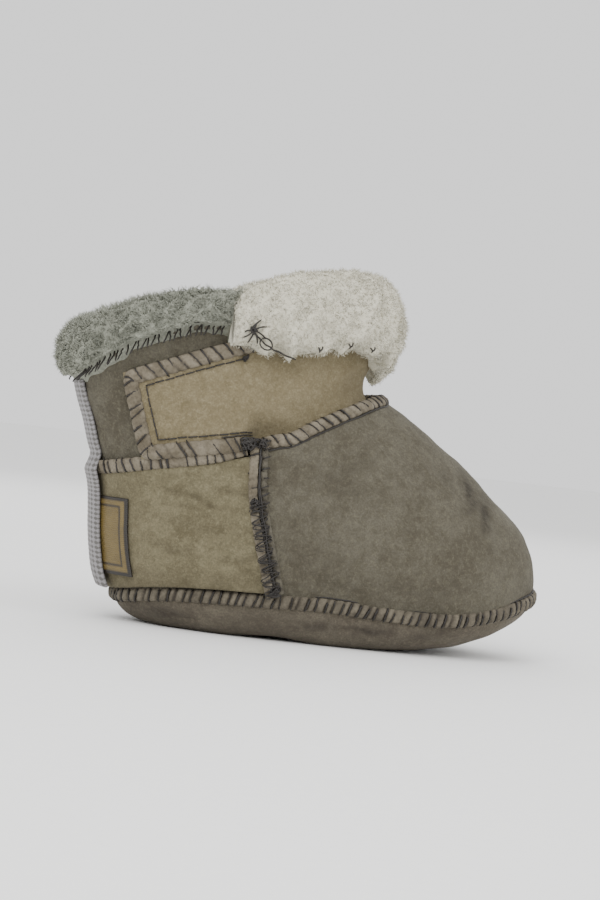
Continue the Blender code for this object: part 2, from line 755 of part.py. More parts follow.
def locks(along, around):
    """The swell of a lock of wool, from -1 to 1, from two uneven beats round the roll."""
    beat = math.tau * along / LOCK_LENGTH
    long_beat = math.sin(beat + 2 * math.sin(2.1 * around))
    short_beat = math.sin(1.7 * beat + 5 * around)
    return (long_beat + 0.6 * short_beat) / 1.6


def wool_roll(name, sheet, stations, profile, groove, material):
    """A roll of wool swept along a sheet's top edge, with a groove that takes that edge.

    sheet(turn, height, proud) is a point that far out from the sheet's outer face. A station is
    the edge's turn and height, with the roll's hang, height and flare there. The groove is given
    by how far in and out of the sheet's face its sides lie, and by the depth of the inner side."""
    inner_side, outer_side, depth = groove
    bm = bmesh.new()
    rings, along = [], []
    seats = [sheet(turn, height, 0.0) for turn, height, _, _, _ in stations]
    for k, seat in enumerate(seats):
        along.append(along[-1] + (seat - seats[k - 1]).length if k else 0.0)
    for (turn, height, hang, tall, flare), seat, gone in zip(stations, seats, along):
        normal = normal_of(last, turn, height)
        out = Vector((normal.x, normal.y, 0)).normalized()

        def at(proud, rise, reach=0.0):
            on_sheet = sheet(turn, height + min(rise, 0.0), proud)
            return on_sheet + out * reach + Vector((0, 0, max(rise, 0.0)))

        end = min(gone, along[-1] - gone) / WOOL_END
        full = math.sqrt(1 - (1 - min(1.0, 0.12 + end)) ** 2)
        ring = [at(outer_side, SHEET_GAP - hang)]
        for k, (across, up, droop, loose) in enumerate(profile):
            swell = LOCK_DEPTH * locks(gone, k) * full * loose
            away = Vector((across, 0.6 * up - 0.2)).normalized() * swell
            reach = across * flare * lerp(WOOL_END_FLARE, 1, full) + away.x
            if across < 0 and up < 0:
                reach = min(reach, -inner_side - LOCK_DEPTH)
            rise = up * tall * lerp(WOOL_END_HEIGHT, 1, full) - droop * hang + away.y
            ring.append(at(0.0, rise, reach))
        ring += [at(-inner_side, -depth), at(-inner_side, SHEET_GAP), at(outer_side, SHEET_GAP)]
        rings.append([bm.verts.new(point) for point in ring])
    for first, second in zip(rings, rings[1:]):
        for a, b, c, d in zip(first, first[1:] + first[:1], second[1:] + second[:1], second):
            bm.faces.new((a, b, c, d))
    bm.faces.new(rings[0])
    bm.faces.new(reversed(rings[-1]))
    return new_object(name, bm, material)


def make_collar_wool(material):
    """Grey pile that stands out of the shaft's collar, from one front edge round to the other."""
    stations = []
    steps = 46
    for k in range(steps + 1):
        side_share = 1 - 2 * k / steps
        share = COLLAR_END * abs(side_share)
        height = collar_height(share)
        turn = math.copysign(lerp(math.pi, turn_at(SHAFT_EDGE, height), share), side_share)
        hang, tall, flare = (read(COLLAR, 1 - abs(side_share), c) for c in (1, 2, 3))
        roll = hang * COLLAR_WOOL_HEIGHT, tall * COLLAR_WOOL_HEIGHT, flare * COLLAR_WOOL_FLARE
        stations.append((turn, height, *roll))
    groove = WALL + SHEET_GAP + GAP, EDGE_PROUD + SHEET_GAP, WOOL_DEPTH
    return wool_roll("collar_wool", skin, stations, COLLAR_PROFILE, groove, material)


def make_cuff_wool(material):
    """Cream wool of the tongue, folded over its top edge and round the front of the ankle."""
    stations = []
    steps = 44
    for k in range(steps + 1):
        side_share = 1 - 2 * k / steps
        top = tongue_top(0)
        turn = turn_at(CUFF_START, top) * side_share
        hang, tall, flare = (read(CUFF, 1 - abs(side_share), c) for c in (1, 2, 3))
        roll = hang * CUFF_HEIGHT, tall * CUFF_HEIGHT, flare * CUFF_FLARE
        stations.append((turn, tongue_edge(abs(turn), top), *roll))
    groove = STRAP_THICKNESS + GAP, 2 * SHEET_GAP, CUFF_GROOVE * CUFF_HEIGHT
    return wool_roll("cuff_wool", tongue_face, stations, CUFF_PROFILE, groove, material)


def tongue_face(turn, height, proud):
    return skin(turn, height, tongue_proud(turn, height) + proud)


def tongue_edge(turn, height):
    """Height of the tongue's top edge at this turn."""
    corner = side_seam_corner_turn(height)
    if turn < corner:
        return tongue_top(1 - turn / corner)
    share = 1.0
    while share > 0.5 and turn_at(wing_point(share, 1)[0], height) < turn:
        share -= 0.01
    return wing_point(share, 1)[1]


def main():
    for obj in list(bpy.data.objects):
        bpy.data.objects.remove(obj)
    taupe = finish_of("taupe_suede", (0.19, 0.17, 0.145), 0.95)
    cream = finish_of("cream_suede", (0.42, 0.39, 0.29), 0.95)
    make_upper(taupe)
    make_sole(finish_of("sole_suede", (0.12, 0.10, 0.085), 0.95))
    make_insole(finish_of("footbed_wool", (0.45, 0.45, 0.40), 1.0))
    make_heel_panel(finish_of("pale_suede", (0.44, 0.43, 0.33), 0.95))
    make_label(finish_of("label_weave", (0.55, 0.36, 0.08), 0.6))
    make_heel_tape(finish_of("tape_weave", (0.32, 0.32, 0.34), 0.8))
    make_tongue(cream)
    make_collar_wool(finish_of("grey_wool", (0.20, 0.22, 0.19), 1.0))
    make_cuff_wool(finish_of("cream_wool", (0.62, 0.60, 0.52), 1.0))


if __name__ == "__main__":
    main()
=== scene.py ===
"""Dresses a baby's sheepskin bootie: suede panels, overcast seams, woven tape and label, and wool."""

import math
from typing import NamedTuple

import bpy
import numpy as np
from bpy.props import FloatProperty, FloatVectorProperty, PointerProperty
from mathutils import Euler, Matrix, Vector


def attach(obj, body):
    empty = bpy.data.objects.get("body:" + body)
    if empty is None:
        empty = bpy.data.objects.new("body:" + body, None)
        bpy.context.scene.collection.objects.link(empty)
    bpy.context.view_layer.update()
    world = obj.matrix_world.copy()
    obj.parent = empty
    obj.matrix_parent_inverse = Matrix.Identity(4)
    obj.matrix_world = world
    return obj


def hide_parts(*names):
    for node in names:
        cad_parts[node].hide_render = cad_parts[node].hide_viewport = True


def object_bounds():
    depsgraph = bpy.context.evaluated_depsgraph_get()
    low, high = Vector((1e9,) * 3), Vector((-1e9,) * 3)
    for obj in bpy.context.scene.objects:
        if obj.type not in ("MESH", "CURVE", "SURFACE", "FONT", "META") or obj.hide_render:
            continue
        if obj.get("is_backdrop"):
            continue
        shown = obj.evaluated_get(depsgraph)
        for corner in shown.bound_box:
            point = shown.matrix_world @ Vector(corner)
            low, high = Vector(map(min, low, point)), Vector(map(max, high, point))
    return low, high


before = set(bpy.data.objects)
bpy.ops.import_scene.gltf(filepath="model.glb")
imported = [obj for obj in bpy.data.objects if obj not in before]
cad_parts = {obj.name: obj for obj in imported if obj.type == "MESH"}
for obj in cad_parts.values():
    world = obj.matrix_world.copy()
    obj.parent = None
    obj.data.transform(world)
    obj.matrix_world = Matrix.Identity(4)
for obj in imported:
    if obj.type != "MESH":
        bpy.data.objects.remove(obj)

bl_info = {
    "name": "Sheepskin bootie",
    "version": (1, 0, 0),
    "blender": (4, 5, 0),
    "location": "3D View > Sidebar > Bootie",
    "description": "Dresses a baby's bootie in suede, thread, woven tape and wool",
    "category": "Object",
}

MM = 0.001

# Foot and ankle, as the solids have them
SOLE_LENGTH = 130 * MM
HEEL_REACH = 28 * MM  # from the origin back to the heel's fullest point
BALL_WIDTH = 66 * MM
HEEL_WIDTH = 50 * MM
INSTEP_HEIGHT = 72 * MM  # from the floor to the vamp's top edge at the front
SEAM_HEIGHT = 11 * MM  # from the floor to the sole seam beside the ball
ANKLE_FRONT = 44.5 * MM  # from the origin forward to the tongue's face
ANKLE_BACK = 43.5 * MM  # from the origin back to the collar
SHAFT_WIDTH = 46 * MM
SHAFT_EDGE = -2 * MM  # from the origin forward to the shaft's front edge
COLLAR_RISE = INSTEP_HEIGHT * 2 / 9  # how far the collar climbs from the back to the sides
BACK_HEIGHT = INSTEP_HEIGHT * 17 / 18  # from the floor to the collar's stitched edge at the back
TOE_SQUARENESS = 2.2  # power of a level section's front half: 2 is an ellipse
HEEL_SQUARENESS = 2.8  # and of its back half
BALL_FULLNESS = 1.13  # the ball's half width in the sections against half of BALL_WIDTH

# Thicknesses and clearances
WALL = 2.2 * MM
STRAP_THICKNESS = 1.8 * MM
PANEL_THICKNESS = 1.2 * MM
LABEL_THICKNESS = 0.6 * MM
TAPE_THICKNESS = 0.8 * MM
INSOLE_THICKNESS = 4 * MM
GAP = 0.3 * MM  # between small pieces that lie on each other
SHEET_GAP = 0.5 * MM  # between large curved sheets
PANEL_PROUD = SHEET_GAP + PANEL_THICKNESS
LABEL_UNDER = PANEL_PROUD + SHEET_GAP  # its inner face, out from the upper
TAPE_UNDER = LABEL_UNDER + LABEL_THICKNESS + SHEET_GAP

# Sole
FLOOR_ARCH = 1 * MM  # lift of the waist between the two flat spots
ARCH_PLACE = 0.45  # its middle, from the heel's flat spot (0) to the forefoot's (1)
ARCH_REACH = 0.22  # half its length, as a share of the sole's flat length
HEEL_ROLL = 17 * MM  # from the fullest heel to the heel's flat spot
TOE_ROLL = 42 * MM  # from the toe to the forefoot's flat spot: the toe spring
SIDE_ROLL = 10 * MM
ROLL_POWER = 1.8  # 2 is a round bilge, 1 a straight chamfer
ROLL_END = 0.97  # the last roll whose slope still shows which way the side faces
SPINE_PULL = 0.35  # how much less the flat middle shrinks in length than in width

# Upper, heel panel, label and tape
SLOT_FLOOR = 0.690  # where vamp and shaft part above the side seam, share of INSTEP_HEIGHT
SLOT_WIDTH = 0.1 * MM
PANEL_MIDDLE = 0.7  # where the panel's top edge shows how far forward the panel reaches
LABEL_BOTTOM = 14.2 * MM
LABEL_HEIGHT = 21 * MM
LABEL_LENGTH = 36 * MM  # round the heel
TAPE_WIDTH = 17.5 * MM
TAPE_BOTTOM = 11 * MM
TAPE_EASE = 5 * MM  # height in which the tape comes in from the panel to the shaft
TAPE_LATTICE = 2.6  # millimetres up the tape from one row of its pattern to the next but one
TAPE_SLANT = 0.42  # height over width of the pattern's diamonds

# Tongue and straps
TONGUE_TOP = 1.228  # its top edge at the front, as a share of INSTEP_HEIGHT
TUCK_DEPTH = 8 * MM  # how far the tongue reaches down inside the vamp
TONGUE_TURN = 4.6 * MM  # forward of the origin, where it leaves the shaft's outside
TONGUE_SHIFT = 4 * MM  # distance in which it then comes inside the vamp
TONGUE_SPREAD = 6  # that distance grows with height, by this many times INSTEP_HEIGHT
TONGUE_EASE = 8 * MM  # height in which it comes forward again above the vamp
FRONT_EASE = 2.5  # its top and bottom edge level out over the front's length divided by this
CORNER_EASE = 4  # and its bottom edge leaves the vamp's corner over the length divided by this
STRAP_SEAM = 5.0 * MM  # from the strap's edge in to its rectangle of lockstitch

# Wool
COLLAR_WOOL_HEIGHT = 14 * MM
COLLAR_WOOL_FLARE = 6.5 * MM
COLLAR_END = 0.97  # share of the collar's edge that carries wool
COLLAR_TUCK = 0.14  # share of it by which the fleece runs on under the cuff
CUFF_HEIGHT = 18.5 * MM
CUFF_FLARE = 10 * MM
CUFF_START = 0.5 * MM  # forward of the origin
CUFF_TUCK = 2.5 * MM  # how far the fleece runs back past it
FLEECE_END = 6 * MM  # a roll of fleece rounds off over this distance at its end
OUTER_TUFTS = 16500  # on the collar, and as many on the cuff
FOOTBED_TUFTS = 6000
LINING_TUFTS = 7000

# How finely things are drawn
TURN_STEP = 0.01  # radians, and height, over which a surface's slope is measured
HEIGHT_STEP = 0.4 * MM
EDGE_STEP = 0.3 * MM  # between the points along an edge
EDGE_SIDES = 14  # points round a rolled edge, a thread and a tuft of wool
THREAD_SIDES = 6
TUFT_SIDES = 3

# Level sections of the foot, from the sole up: height, back, front, foot, heel, ball, as shares of
# the named sizes
SECTIONS = (
    (0.10, -0.40, 0.930, 1.00, 0.88, 0.93),
    (0.19, -0.19, 0.972, 1.00, 0.95, 0.99),
    (0.28, -0.09, 0.984, 1.00, 0.99, 1.03),
    (0.36, -0.03, 0.976, 1.00, 1.00, 1.04),
    (0.44, 0.01, 0.948, 1.00, 1.00, 1.02),
    (0.53, 0.07, 0.878, 0.97, 0.99, 0.98),
    (0.61, 0.19, 0.775, 0.90, 0.98, 0.94),
    (0.69, 0.35, 0.650, 0.76, 0.97, 0.91),
    (0.78, 0.49, 0.503, 0.57, 0.97, 0.90),
    (0.86, 0.64, 0.358, 0.38, 0.98, 0.92),
    (0.94, 0.76, 0.193, 0.20, 0.99, 0.95),
    (1.00, 0.83, 0.072, 0.09, 1.00, 0.98),
    (1.06, 0.90, 0.014, 0.03, 1.00, 1.00),
    (1.12, 0.96, 0.000, 0.00, 1.00, 1.00),
    (1.25, 1.06, 0.000, 0.00, 1.00, 1.00),
)
BACK, FRONT, FOOT, HEEL, BALL = range(1, 6)

# Sole seam: distance from heel (0) to toe (1), height as a share of SEAM_HEIGHT
SEAM_LINE = (
    (0.00, 0.66),
    (0.06, 0.80),
    (0.17, 0.95),
    (0.35, 1.04),
    (0.47, 1.08),
    (0.60, 1.01),
    (0.75, 1.00),
    (0.85, 1.20),
    (0.93, 1.48),
    (1.00, 1.76),
)
# Edges of collar, vamp and heel panel: turn from the back, the side or the back (0) to the shaft's
# front, the toe's middle or the side (1), and height as a share of COLLAR_RISE or INSTEP_HEIGHT
COLLAR_LINE = (
    (-0.27, 0.08),
    (0.00, 0.00),
    (0.27, 0.08),
    (0.49, 0.36),
    (0.66, 0.63),
    (0.80, 0.84),
    (0.92, 1.02),
    (1.00, 1.08),
)
VAMP_LINE = (
    (0.00, 0.771),
    (0.04, 0.802),
    (0.14, 0.864),
    (0.34, 0.933),
    (0.55, 0.977),
    (0.78, 0.998),
    (1.00, 1.000),
    (1.22, 0.998),
)
PANEL_LINE = (
    (-0.30, 0.592),
    (0.00, 0.580),
    (0.30, 0.592),
    (0.63, 0.629),
    (0.87, 0.669),
    (1.00, 0.712),
)
# Side seam: height as a share of INSTEP_HEIGHT, distance forward as one of ANKLE_FRONT
SIDE_SEAM = ((0.16, 0.447), (0.36, 0.333), (0.55, 0.252), (0.74, 0.232))
# Strap wing, from its free end (0) to the tongue (1): its lower edge's distance forward and height,
# then its upper edge's, as shares of ANKLE_FRONT and INSTEP_HEIGHT
WING = (
    (0.00, -0.460, 0.650, -0.645, 0.972),
    (0.30, -0.225, 0.678, -0.390, 1.036),
    (0.62, 0.005, 0.706, -0.115, 1.106),
    (0.82, 0.130, 0.722, 0.060, 1.148),
    (1.00, 0.225, 0.735, 0.225, 1.190),
)
LOW_FORWARD, LOW_HEIGHT, HIGH_FORWARD, HIGH_HEIGHT = range(1, 5)
# Wool rolls: place from an end (0) to the middle (1), hang, height, flare
CUFF = (
    (0.00, 0.16, 0.80, 0.62),
    (0.12, 0.34, 0.92, 0.76),
    (0.30, 0.36, 1.00, 0.86),
    (0.55, 0.26, 1.03, 0.90),
    (0.80, 0.44, 1.03, 1.00),
    (1.00, 0.56, 1.02, 1.00),
    (1.20, 0.44, 1.03, 1.00),
)
COLLAR = (
    (0.00, 0.00, 0.86, 0.55),
    (0.20, 0.00, 0.95, 0.80),
    (0.60, 0.02, 1.20, 1.00),
    (1.00, 0.12, 1.32, 1.12),
    (1.40, 0.02, 1.20, 1.00),
)
# Their sections: out, up, hang
CUFF_PROFILE = (
    (0.16, -0.02, 1.00),
    (0.36, -0.04, 1.00),
    (0.76, 0.00, 0.84),
    (1.00, 0.05, 0.38),
    (1.04, 0.27, 0.00),
    (0.90, 0.56, 0.00),
    (0.56, 0.83, 0.00),
    (0.10, 0.98, 0.00),
    (-0.40, 1.00, 0.00),
    (-0.84, 0.87, 0.00),
    (-1.06, 0.58, 0.00),
    (-1.06, 0.20, 0.00),
    (-0.94, -0.10, 0.00),
    (-0.62, -0.27, 0.00),
)
COLLAR_PROFILE = (
    (0.26, -0.02, 1.00),
    (0.62, -0.04, 1.00),
    (1.00, 0.10, 0.70),
    (1.12, 0.36, 0.20),
    (0.94, 0.66, 0.00),
    (0.52, 0.90, 0.00),
    (-0.10, 1.00, 0.00),
    (-0.82, 0.94, 0.00),
    (-1.38, 0.66, 0.00),
    (-1.60, 0.22, 0.00),
    (-1.56, -0.28, 0.00),
    (-1.24, -0.64, 0.00),
    (-0.80, -0.72, 0.00),
)


# How the rolls of wool and of skin are made


class Fleece(NamedTuple):
    """A roll of wool along a top edge: its rows and section, how tall it is and how far it flares,
    the points round it, and the size that its ends keep."""

    rows: tuple
    profile: tuple
    tall: float
    flare: float
    around: int
    end_size: float


COLLAR_FLEECE = Fleece(COLLAR, COLLAR_PROFILE, COLLAR_WOOL_HEIGHT, COLLAR_WOOL_FLARE, 60, 0.6)
CUFF_FLEECE = Fleece(CUFF, CUFF_PROFILE, CUFF_HEIGHT, CUFF_FLARE, 64, 0.45)


class Roll(NamedTuple):
    """The puffed edge of a sheet and the stitches over it: its two sides across the edge and how
    far it stands out, the stitches' slant, their spacing as a share of the pitch and the seed of
    their places, how far it lies under the edge, and how much the thread pulls it in."""

    low: float
    high: float
    proud: float
    slant: float
    spacing: float
    seed: int
    under: float = 0.0
    pull: float = 0.0


SOLE_ROLL = Roll(-1.9 * MM, 2.1 * MM, 1.6 * MM, 0.30, 0.82, 1, 0.6 * MM, 0.50)
VAMP_ROLL = Roll(-0.6 * MM, 3.1 * MM, 1.3 * MM, 0.45, 0.90, 2, 1.4 * MM, 0.45)
PANEL_ROLL = Roll(-0.6 * MM, 3.4 * MM, 0.8 * MM, 0.10, 0.87, 3, 1.1 * MM, 0.40)
STRAP_ROLL = Roll(-0.5 * MM, 3.9 * MM, 1.2 * MM, 0.50, 1.05, 4, 1.5 * MM, 0.30)
PANEL_SIDE_ROLL = Roll(0.4 * MM, 3.0 * MM, 0.9 * MM, -0.30, 1.00, 5, 1.1 * MM, 0.45)
COLLAR_ROLL = Roll(-0.5 * MM, 2.4 * MM, 1.0 * MM, 0.15, 1.00, 6, 1.2 * MM, 0.45)
VAMP_SIDE_ROLL = Roll(-2.4 * MM, -0.1 * MM, 1.6 * MM, 0.30, 1.00, 7, 0.6 * MM, 0.40)
# The side seam's lower half, whipped to either side
WHIPPING = (
    Roll(0.2 * MM, 3.1 * MM, 1.2 * MM, -0.35, 0.80, 21),
    Roll(-2.7 * MM, -0.1 * MM, 1.2 * MM, -0.30, 0.80, 22),
)


# Soft creases, in side view on both sides: from forward, height, to forward,
# height, depth and half width, in millimetres. A negative depth is a ridge.
PANEL_CREASES = (
    (-18, 40.5, 8, 33.5, 0.62, 1.1),
    (-14, 38.2, 11, 31.0, -0.50, 1.0),
    (-17, 36.0, 4, 33.0, 0.45, 1.0),
    (-4, 42.0, 12, 38.4, 0.50, 1.1),
    (-12, 31.5, 8, 29.0, -0.35, 1.4),
    (-19, 24.5, -2, 21.0, 0.42, 1.8),
    (0, 20.0, 17, 24.5, 0.42, 1.6),
)
VAMP_CREASES = (
    (24, 43, 46, 56, 0.35, 3.0),
    (34, 39, 60, 52, -0.30, 4.0),
    (26, 20, 44, 15, 0.35, 2.6),
    (62, 22, 84, 19, 0.30, 3.0),
    (70, 40, 86, 30, 0.28, 3.2),
    (78, 46, 84, 34, 0.35, 1.6),
)
SHAFT_CREASES = (
    (-32, 60, -24, 44, 0.45, 2.4),
    (-37, 66, -30, 52, -0.30, 2.6),
)
STRAP_CREASES = (
    (-12, 66, 8, 71, 0.22, 3.2),
    (2, 58, 28, 66, -0.25, 3.6),
    (20, 74, 38, 78, 0.30, 2.6),
    (34, 70, 42, 82, 0.30, 2.2),
)
SOLE_CREASES = (
    (34, 6.2, 52, 4.6, 0.60, 1.1),
    (54, 3.4, 72, 5.0, 0.55, 1.1),
    (8, 5.4, 26, 6.8, 0.50, 1.3),
    (-12, 4.4, 2, 3.2, 0.40, 1.2),
    (76, 9.0, 90, 13.0, 0.40, 1.2),
)
# Rubbed and dirty patches: forward, height, reach forward, reach up, tilt in degrees, strength
VAMP_MARKS = (
    (73.6, 48.4, 2.0, 5.0, 12, 1.40),
    (78.8, 41.4, 2.1, 5.2, -8, 1.30),
    (75.4, 44.6, 4.2, 2.0, 30, 1.00),
    (66.0, 51.0, 4.2, 1.3, -38, 0.60),
    (36.0, 44.0, 7.0, 2.0, 10, 0.36),
    (30.0, 24.0, 9.0, 5.0, 0, 0.28),
    (60.0, 18.5, 14.0, 2.4, -4, 0.30),
)
SOLE_MARKS = (
    (47, 5.8, 8.0, 1.8, 4, 0.95),
    (32, 5.6, 7.0, 1.7, 0, 0.85),
    (66, 6.8, 8.0, 1.6, 15, 0.55),
    (14, 5.0, 11.0, 2.2, 0, 0.50),
    (-10, 4.4, 7.0, 2.4, -10, 0.80),
)
PANEL_MARKS = (
    (8, 16, 9, 3.0, 4, 0.42),
    (14, 28, 2.2, 9, 0, 0.40),
    (-14, 15, 8, 2.2, 0, 0.40),
    (-8, 31, 12, 2.2, -6, 0.22),
)
STRAP_MARKS = (
    (-10, 52, 12, 2.2, 6, 0.35),
    (10, 60, 10, 4.0, 12, 0.22),
    (38, 76, 5, 4.0, 20, 0.30),
)

# The thread along the cuff's lower edge, from the star: forward, height, in millimetres
CUFF_THREAD = ((2.6, 86.2), (4.4, 84.2), (6.8, 82.0), (9.6, 80.2), (12.6, 79.0), (16.0, 78.4))

# Where stitches draw the cuff's lower edge in: forward, height, in millimetres
CUFF_NOTCHES = ((21.5, 82.5), (29.4, 84.9), (35.4, 84.7))


# Smooth reading of the tables


def read(table, at, column=1):
    """The table's column at these places, on a smooth curve through its rows."""
    rows = np.array(table, float)
    x, y = rows[:, 0], rows[:, column]
    slope = np.empty_like(y)
    slope[1:-1] = (y[2:] - y[:-2]) / (x[2:] - x[:-2])
    slope[0], slope[-1] = (y[1] - y[0]) / (x[1] - x[0]), (y[-1] - y[-2]) / (x[-1] - x[-2])
    at = np.asarray(at, float)
    k = np.clip(np.searchsorted(x, at) - 1, 0, len(x) - 2)
    width = x[k + 1] - x[k]
    t = np.clip((at - x[k]) / width, 0, 1)
    inside = (
        y[k] * (1 + 2 * t) * (1 - t) ** 2
        + slope[k] * width * t * (1 - t) ** 2
        + y[k + 1] * t * t * (3 - 2 * t)
        + slope[k + 1] * width * t * t * (t - 1)
    )
    before, after = np.minimum(at - x[0], 0), np.maximum(at - x[-1], 0)
    return inside + slope[0] * before + slope[-1] * after


def lerp(a, b, t):
    return a + (b - a) * t


def smooth(t):
    """Eases from 0 to 1."""
    t = np.clip(t, 0, 1)
    return t * t * (3 - 2 * t)


def bent(value, power):
    """The value's power, with its sign kept."""
    return np.sign(value) * np.abs(value) ** power


def unit(vectors):
    return vectors / np.maximum(np.linalg.norm(vectors, axis=-1, keepdims=True), 1e-12)


# The shoe's own surface, by turn round the foot, from the toe (0) to the back (pi), and height


def section(height):
    """Back, front, heel and ball of the foot's level section at this height."""
    at = np.asarray(height) / INSTEP_HEIGHT
    foot = read(SECTIONS, at, FOOT)
    back = -lerp(HEEL_REACH, ANKLE_BACK, read(SECTIONS, at, BACK))
    front = lerp(ANKLE_FRONT, SOLE_LENGTH - HEEL_REACH, read(SECTIONS, at, FRONT))
    heel = lerp(SHAFT_WIDTH, HEEL_WIDTH, foot) / 2 * read(SECTIONS, at, HEEL)
    ball = lerp(SHAFT_WIDTH, BALL_WIDTH * BALL_FULLNESS, foot) / 2 * read(SECTIONS, at, BALL)
    return back, front, heel, ball


def squareness(along):
    return np.where(along > 0, TOE_SQUARENESS, HEEL_SQUARENESS)


def level_point(turn, back, front, heel, ball):
    """Forward and sideways place on a level section."""
    power = 2 / squareness(np.cos(turn))
    along = bent(np.cos(turn), power)
    half_width = lerp(heel, ball, (1 + np.cos(turn)) / 2)
    return lerp(back, front, (1 + along) / 2), half_width * bent(np.sin(turn), power)


def last(turn, height):
    """A point on the outside of the upper."""
    turn, height = np.broadcast_arrays(np.asarray(turn, float), np.asarray(height, float))
    x, y = level_point(turn, *section(height))
    return np.stack([x, y, height], axis=-1)


def normal_of(surface, u, v):
    u, v = np.asarray(u, float), np.asarray(v, float)
    across = surface(u + TURN_STEP, v) - surface(u - TURN_STEP, v)
    return unit(np.cross(across, surface(u, v + HEIGHT_STEP) - surface(u, v - HEIGHT_STEP)))


def skin(turn, height, proud=0.0):
    """A point this far out from the upper."""
    return last(turn, height) + normal_of(last, turn, height) * np.asarray(proud)[..., None]


def level_out(turn, height):
    return unit(normal_of(last, turn, height) * (1, 1, 0))


def place(turn):
    """Distance from heel (0) to toe (1)."""
    along = np.cos(turn)
    return (1 + bent(along, 2 / squareness(along))) / 2


def turn_at(forward, height):
    """The turn at which the upper is this far forward."""
    back, front, _, _ = section(height)
    along = 2 * (forward - back) / (front - back) - 1
    return np.arccos(np.clip(bent(along, squareness(along) / 2), -1, 1))


def from_back(share, front):
    """The turn this share of the way from the back to a front line, negative on the -Y side."""
    return lerp(math.pi, front, np.abs(share)) * np.where(share < 0, -1, 1)


def turn_round_back(height, arc):
    """The turn this far round the heel from its centre line; arc is negative on the -Y side."""
    height, arc = np.broadcast_arrays(np.asarray(height, float), np.asarray(arc, float))
    turns = math.pi - 0.02 * np.arange(90)
    levels, which = np.unique(height, return_inverse=True)
    gone = np.empty(height.size)
    for k, level in enumerate(levels):
        here = which.ravel() == k
        gone[here] = np.interp(np.abs(arc.ravel()[here]), run_length(last(turns, level)), turns)
    return gone.reshape(height.shape) * np.where(arc < 0, -1, 1)


def seam_height(turn):
    return SEAM_HEIGHT * read(SEAM_LINE, place(turn))


def side_seam(height):
    return ANKLE_FRONT * read(SIDE_SEAM, np.asarray(height) / INSTEP_HEIGHT)


def side_seam_turn(height):
    return turn_at(side_seam(height), height)


def collar_height(share):
    return BACK_HEIGHT + COLLAR_RISE * read(COLLAR_LINE, share)


def vamp_height(share):
    return INSTEP_HEIGHT * read(VAMP_LINE, share)


def panel_height(share):
    return INSTEP_HEIGHT * read(PANEL_LINE, share)


def vamp_share(turn, height):
    """From the side seam (0) to the toe's middle (1)."""
    return np.maximum(0, 1 - np.abs(turn) / side_seam_turn(height))


def corner_turn(height):
    """The turn at which the tongue's front becomes a strap wing."""
    return turn_at(ANKLE_FRONT * WING[-1][LOW_FORWARD], height)


def tongue_top(share):
    return INSTEP_HEIGHT * lerp(WING[-1][HIGH_HEIGHT], TONGUE_TOP, smooth(FRONT_EASE * share))


def tongue_proud(turn, height):
    """How far the tongue's face is out from the upper: over the shaft behind, inside the vamp
    in front."""
    over_vamp = height - vamp_height(vamp_share(turn, height))
    inside = -(WALL + 2 * SHEET_GAP + GAP) * (1 - smooth((over_vamp - VAMP_ROLL.proud) / TONGUE_EASE))
    rise = (height - WING[-1][LOW_HEIGHT] * INSTEP_HEIGHT) / INSTEP_HEIGHT
    shift = TONGUE_SHIFT * (1 + TONGUE_SPREAD * np.maximum(0, rise))
    forward = last(turn, height)[..., 0] - TONGUE_TURN
    return lerp(SHEET_GAP + STRAP_THICKNESS, inside, smooth(forward / shift))


def tongue_face(turn, height, proud=0.0):
    return skin(turn, height, tongue_proud(turn, height) + proud)


def wing_point(share, rise):
    """Forward and height of a point on the strap wing."""
    low, high = (ANKLE_FRONT * read(WING, share, c) for c in (LOW_FORWARD, HIGH_FORWARD))
    bottom, top = (INSTEP_HEIGHT * read(WING, share, c) for c in (LOW_HEIGHT, HIGH_HEIGHT))
    return lerp(low, high, rise), lerp(bottom, top, rise)


def footprint():
    """Back, front, heel and ball of the flat part of the sole."""
    _, _, heel, ball = section(SEAM_HEIGHT)
    back, front = HEEL_ROLL - HEEL_REACH, SOLE_LENGTH - HEEL_REACH - TOE_ROLL
    return back, front, heel - SIDE_ROLL, ball - SIDE_ROLL


def arch(forward):
    """Lift of the sole's flat part over the floor."""
    middle = lerp(HEEL_ROLL - HEEL_REACH, SOLE_LENGTH - HEEL_REACH - TOE_ROLL, ARCH_PLACE)
    reach = ARCH_REACH * (SOLE_LENGTH - HEEL_ROLL - TOE_ROLL)
    return FLOOR_ARCH * smooth(1 - np.abs(forward - middle) / reach)


def roll_point(turn, roll):
    """A point on the sole's side, which rolls from its rim (0) to its flat part (1)."""
    turn, roll = np.broadcast_arrays(np.asarray(turn, float), np.asarray(roll, float))
    rim = last(turn, seam_height(turn))
    x, y = level_point(turn, *footprint())
    share = np.maximum(0, np.cos(roll * math.pi / 2)) ** (2 / ROLL_POWER)
    drop = np.maximum(0, np.sin(roll * math.pi / 2)) ** (2 / ROLL_POWER)
    forward = lerp(x, rim[..., 0], share)
    up = rim[..., 2] * (1 - drop) + arch(forward) * drop
    return np.stack([forward, lerp(y, rim[..., 1], share), up], axis=-1)


# Soft irregular shapes


def waves(points, size, seed):
    """Smooth irregular swell from -1 to 1, with hills about this wide."""
    rng = np.random.default_rng(seed)
    total = np.zeros(points.shape[:-1])
    for _ in range(7):
        way = unit(rng.normal(size=3)) * math.tau / (size * rng.uniform(0.8, 1.7))
        total += np.sin(points @ way + rng.uniform(0, math.tau))
    return total / 3.2


